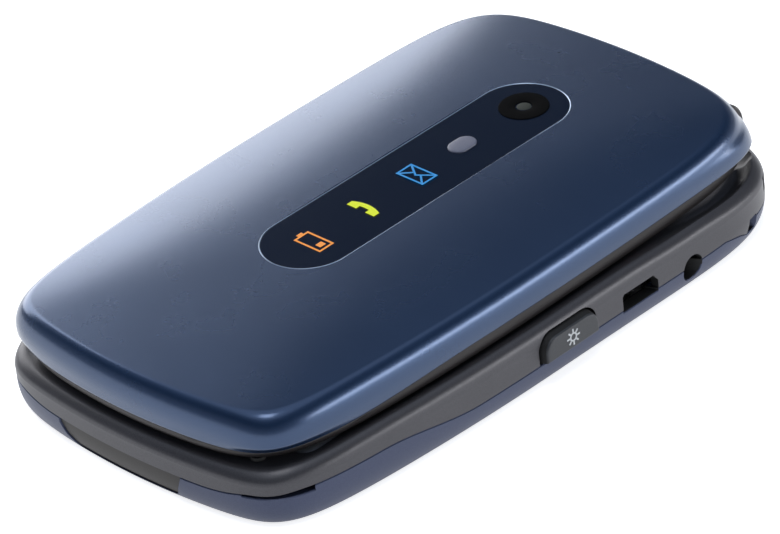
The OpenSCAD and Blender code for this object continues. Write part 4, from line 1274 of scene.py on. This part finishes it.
sideKeys = {
    "out": 32.5, "edge": 0.35, "draft": 0.3, "signZ": 6.0,
    "button": {"y": sockets["buttonY"], "half": 5.5, "low": 3.9, "high": 8.1,
               "round": 2.4, "back": 28.7, "flangeOut": 29.7, "flangeHalf": 6.7,
               "flangeHigh": 7.6},
    "rocker": {"y": sockets["rockerY"], "half": 9.9, "low": 4.5, "high": 7.5,
               "round": 1.4, "back": 28.5, "flangeOut": 29.6, "flangeHalf": 10.8,
               "flangeHigh": 7.3},
}


def makeSideKey(name, part, side):
    # flange and drafted body, D-shaped, with its outer edge turned over and a flat face whose
    # rings shrink to its middle
    p, k = part, sideKeys

    def flat(inset, half=None, high=None, radius=None):
        half, high = (half or p["half"]) - inset, (high or p["high"]) - inset
        return dShape(p["y"] - half, p["y"] + half, p["low"] + inset, high,
                      (radius or p["round"]) - inset)

    rows = [(flat(0, p["flangeHalf"], p["flangeHigh"], 1.0), x)
            for x in (p["back"], p["flangeOut"])]
    rows.append((flat(0), p["flangeOut"]))
    foot = k["out"] - k["edge"]
    rows.append((flat(k["draft"] * 0.25), foot - 1.0))
    turn = k["edge"]
    for a in np.linspace(0, np.pi / 2, 7):
        rows.append((flat(k["draft"] + turn * 0.8 * (1 - np.cos(a))), foot + turn * np.sin(a)))
    face = rows[-1][0]
    middle = face.mean(0)
    for scale in np.linspace(0.9, 0.02, 8):
        rows.append((middle + (face - middle) * scale, k["out"]))
    return gridObject(name, stack([(side * x, f[:, 0], f[:, 1]) for f, x in rows]))


def darkenSkirt(piece, material):
    # faces inboard of the turned edge take a second material
    mesh = piece.data
    mesh.materials.append(material)
    reach = np.abs(readTriples(mesh.polygons, "center")[:, 0]) / mm
    inner = (reach < sideKeys["out"] - 0.42).astype(np.int32)
    mesh.polygons.foreach_set("material_index", inner)
    mesh.update()


def sideSign(name, bands, side, depth=0.03):
    # a sign drawn in Y and Z, standing out of a side key's face
    piece = signObject(name, bands, lambda u, v: 0 * u, depth)
    points = readTriples(piece.data.vertices, "co")
    turned = np.column_stack([side * (sideKeys["out"] * mm + points[:, 2]), points[:, 0],
                              points[:, 1]])
    piece.data.vertices.foreach_set("co", turned.ravel())
    piece.data.update()
    return turnOut(piece)


def sunBands(y, z, radius=0.58, rays=8):
    # ring with short rays round it
    bands = discBands(y, z, radius, 0.26, 32)
    for a in np.arange(rays) * 2 * np.pi / rays:
        out = np.array([np.cos(a), np.sin(a)])
        near, end = out * (radius + 0.08) + [y, z], out * (radius + 0.7) + [y, z]
        bands.append(lineBand(along(near, end, 2), 0.27))
    return bands


button = makeSideKey("sideButtonCap", sideKeys["button"], 1)
dress(button, finishes["button_grey"], "side_button", slotOf["side_button"], "side_button")
darkenSkirt(button, finishes["rubber_black"])
sun = sunBands(sockets["buttonY"], sideKeys["signZ"])
dress(sideSign("brightnessSign", sun, 1), finishes["key_print"], "side_button", "key_grey")
rocker = makeSideKey("volumeRockerCap", sideKeys["rocker"], -1)
dress(rocker, finishes["button_grey"], "volume_rocker", slotOf["volume_rocker"], "volume_rocker")
strokes = (((-1.4, 6.0), (0.2, 6.0)), ((-0.6, 5.2), (-0.6, 5.84)),
           ((-0.6, 6.16), (-0.6, 6.8)), ((11.8, 6.0), (13.4, 6.0)))
plusMinus = [lineBand(along(a, b, 2), signs["line"]) for a, b in strokes]
dress(sideSign("volumeSigns", plusMinus, -1), finishes["key_print"], "volume_rocker", "key_grey")

sos = {"y": cover["rowY"], "radius": 4.4, "face": 0.5, "flange": 5.2, "low": 1.2, "high": 2.0,
       "stem": 1.5, "stemTop": 4.5}
sosCap = lathe("sosButtonCap", [
    (0.02, sos["face"] + 0.3), (2.0, sos["face"] + 0.24), (3.4, sos["face"] + 0.08),
    (3.9, sos["face"]), (4.2, sos["face"] + 0.04), (4.36, sos["face"] + 0.16),
    (sos["radius"], sos["face"] + 0.34), (sos["radius"], sos["low"]), (sos["flange"], sos["low"]),
    (sos["flange"], sos["high"]), (sos["stem"], sos["high"]), (sos["stem"], sos["stemTop"]),
    (0.02, sos["stemTop"])], (0, sos["y"], 0), 96)
dress(sosCap, finishes[slotOf["sos_button"]], "sos_button", slotOf["sos_button"], "sos_button")
print("side keys: done")


# Floor, light and camera
view = {
    "place": (0.527565, -0.480741, 0.461942),
    "right": (0.71460082, 0.69262211, -0.09808305),
    "up": (-0.31714324, 0.44574905, 0.83709495),
    "back": (0.62351089, -0.56708236, 0.53819305),
    "lens": 278.58,
}
cameraData = bpy.data.cameras.new("camera")
cameraData.lens = view["lens"]
cameraData.sensor_width = 36.0
cameraData.clip_start = 0.01
cameraData.clip_end = 20.0
cameraObject = bpy.data.objects.new("camera", cameraData)
bpy.context.scene.collection.objects.link(cameraObject)
turn = Matrix([view["right"], view["up"], view["back"]]).transposed().to_4x4()
cameraObject.matrix_world = Matrix.Translation(view["place"]) @ turn
bpy.context.scene.camera = cameraObject
bpy.context.scene.view_settings.view_transform = "Standard"


stage = {
    "half": 3.0, "pale": 0.82, "glow": 0.80,
    "sky": ((0.10, (0.30, 0.32, 0.36)), (0.50, (0.03, 0.04, 0.06)),    # height, colour
            (0.76, (0.14, 0.17, 0.22)), (0.86, (0.66, 0.74, 0.86))),
    "lamps": (                   # name, place, target, size, power, roll
        ("keyPanel", (-2.32, 0.66, 0.90), (0, 0, 0.02), (2.3, 1.8), 46.0, -38.0),
        ("topPanel", (0.2, -0.3, 1.5), (0, 0, 0), (0.5, 0.5), 4.0, 0.0),
        ("sidePanel", (1.10, 0.78, 0.15), (0, 0, 0.01), (1.2, 0.16), 6.0, 0.0)),
}


def makeFloor():
    # a pale floor that shows nearly white to the camera and to mirrors and keeps the shadow
    half, pale = stage["half"], stage["pale"]
    mesh = bpy.data.meshes.new("floor")
    mesh.from_pydata([(-half, -half, 0), (half, -half, 0), (half, half, 0), (-half, half, 0)], [],
                     [(0, 1, 2, 3)])
    floor = bpy.data.objects.new("floor", mesh)
    bpy.context.scene.collection.objects.link(floor)
    material = bpy.data.materials.new("paleFloor")
    material.use_nodes = True
    tree = material.node_tree
    shader = tree.nodes["Principled BSDF"]
    shader.inputs["Base Color"].default_value = (pale, pale, pale, 1)
    shader.inputs["Roughness"].default_value = 0.9
    shader.inputs["Specular IOR Level"].default_value = 0.0
    rays = tree.nodes.new("ShaderNodeLightPath")
    seen = addNode(tree, "ShaderNodeMath", {"operation": "ADD", "use_clamp": True})
    tree.links.new(rays.outputs["Is Camera Ray"], seen.inputs[0])
    tree.links.new(rays.outputs["Is Glossy Ray"], seen.inputs[1])
    glow = addNode(tree, "ShaderNodeMath", {"operation": "MULTIPLY"})
    tree.links.new(seen.outputs[0], glow.inputs[0])
    glow.inputs[1].default_value = stage["glow"]
    shader.inputs["Emission Color"].default_value = (1, 1, 1, 1)
    tree.links.new(glow.outputs[0], shader.inputs["Emission Strength"])
    mesh.materials.append(material)


def makeWorld():
    # dim at the horizon, paler towards the floor and overhead; the camera sees plain white
    world = bpy.data.worlds.new("studio")
    bpy.context.scene.world = world
    world.use_nodes = True
    tree = world.node_tree
    shade = tree.nodes["Background"]
    place = tree.nodes.new("ShaderNodeTexCoord")
    split = tree.nodes.new("ShaderNodeSeparateXYZ")
    tree.links.new(place.outputs["Generated"], split.inputs[0])
    ladder = tree.nodes.new("ShaderNodeValToRGB")
    ladder.color_ramp.interpolation = "EASE"
    steps = ladder.color_ramp.elements
    for i, (height, colour) in enumerate(stage["sky"]):
        step = steps[i] if i < 2 else steps.new(height)
        step.position = height
        step.color = (*colour, 1)
    tree.links.new(split.outputs["Z"], ladder.inputs[0])
    rays = tree.nodes.new("ShaderNodeLightPath")
    blend = addNode(tree, "ShaderNodeMix", {"data_type": "RGBA"})
    tree.links.new(rays.outputs["Is Camera Ray"], blend.inputs["Factor"])
    tree.links.new(ladder.outputs[0], blend.inputs[6])
    blend.inputs[7].default_value = (1, 1, 1, 1)
    tree.links.new(blend.outputs[2], shade.inputs["Color"])


def areaLamp(name, place, target, size, power, roll):
    # a rectangle that faces its target, rolled about the line to it
    data = bpy.data.lights.new(name, "AREA")
    data.shape = "RECTANGLE"
    data.size, data.size_y = size
    data.energy = power
    lamp = bpy.data.objects.new(name, data)
    bpy.context.scene.collection.objects.link(lamp)
    back = np.asarray(place, float) - np.asarray(target, float)
    back /= np.linalg.norm(back)
    right = np.cross([0, 0, 1], back)
    right /= np.linalg.norm(right)
    up = np.cross(back, right)
    c, s = np.cos(np.radians(roll)), np.sin(np.radians(roll))
    right, up = c * right - s * up, s * right + c * up
    lamp.matrix_world = Matrix.Translation(place) @ Matrix([right, up, back]).transposed().to_4x4()


makeFloor()
makeWorld()
for lampRow in stage["lamps"]:
    areaLamp(*lampRow)
print("stage: done")
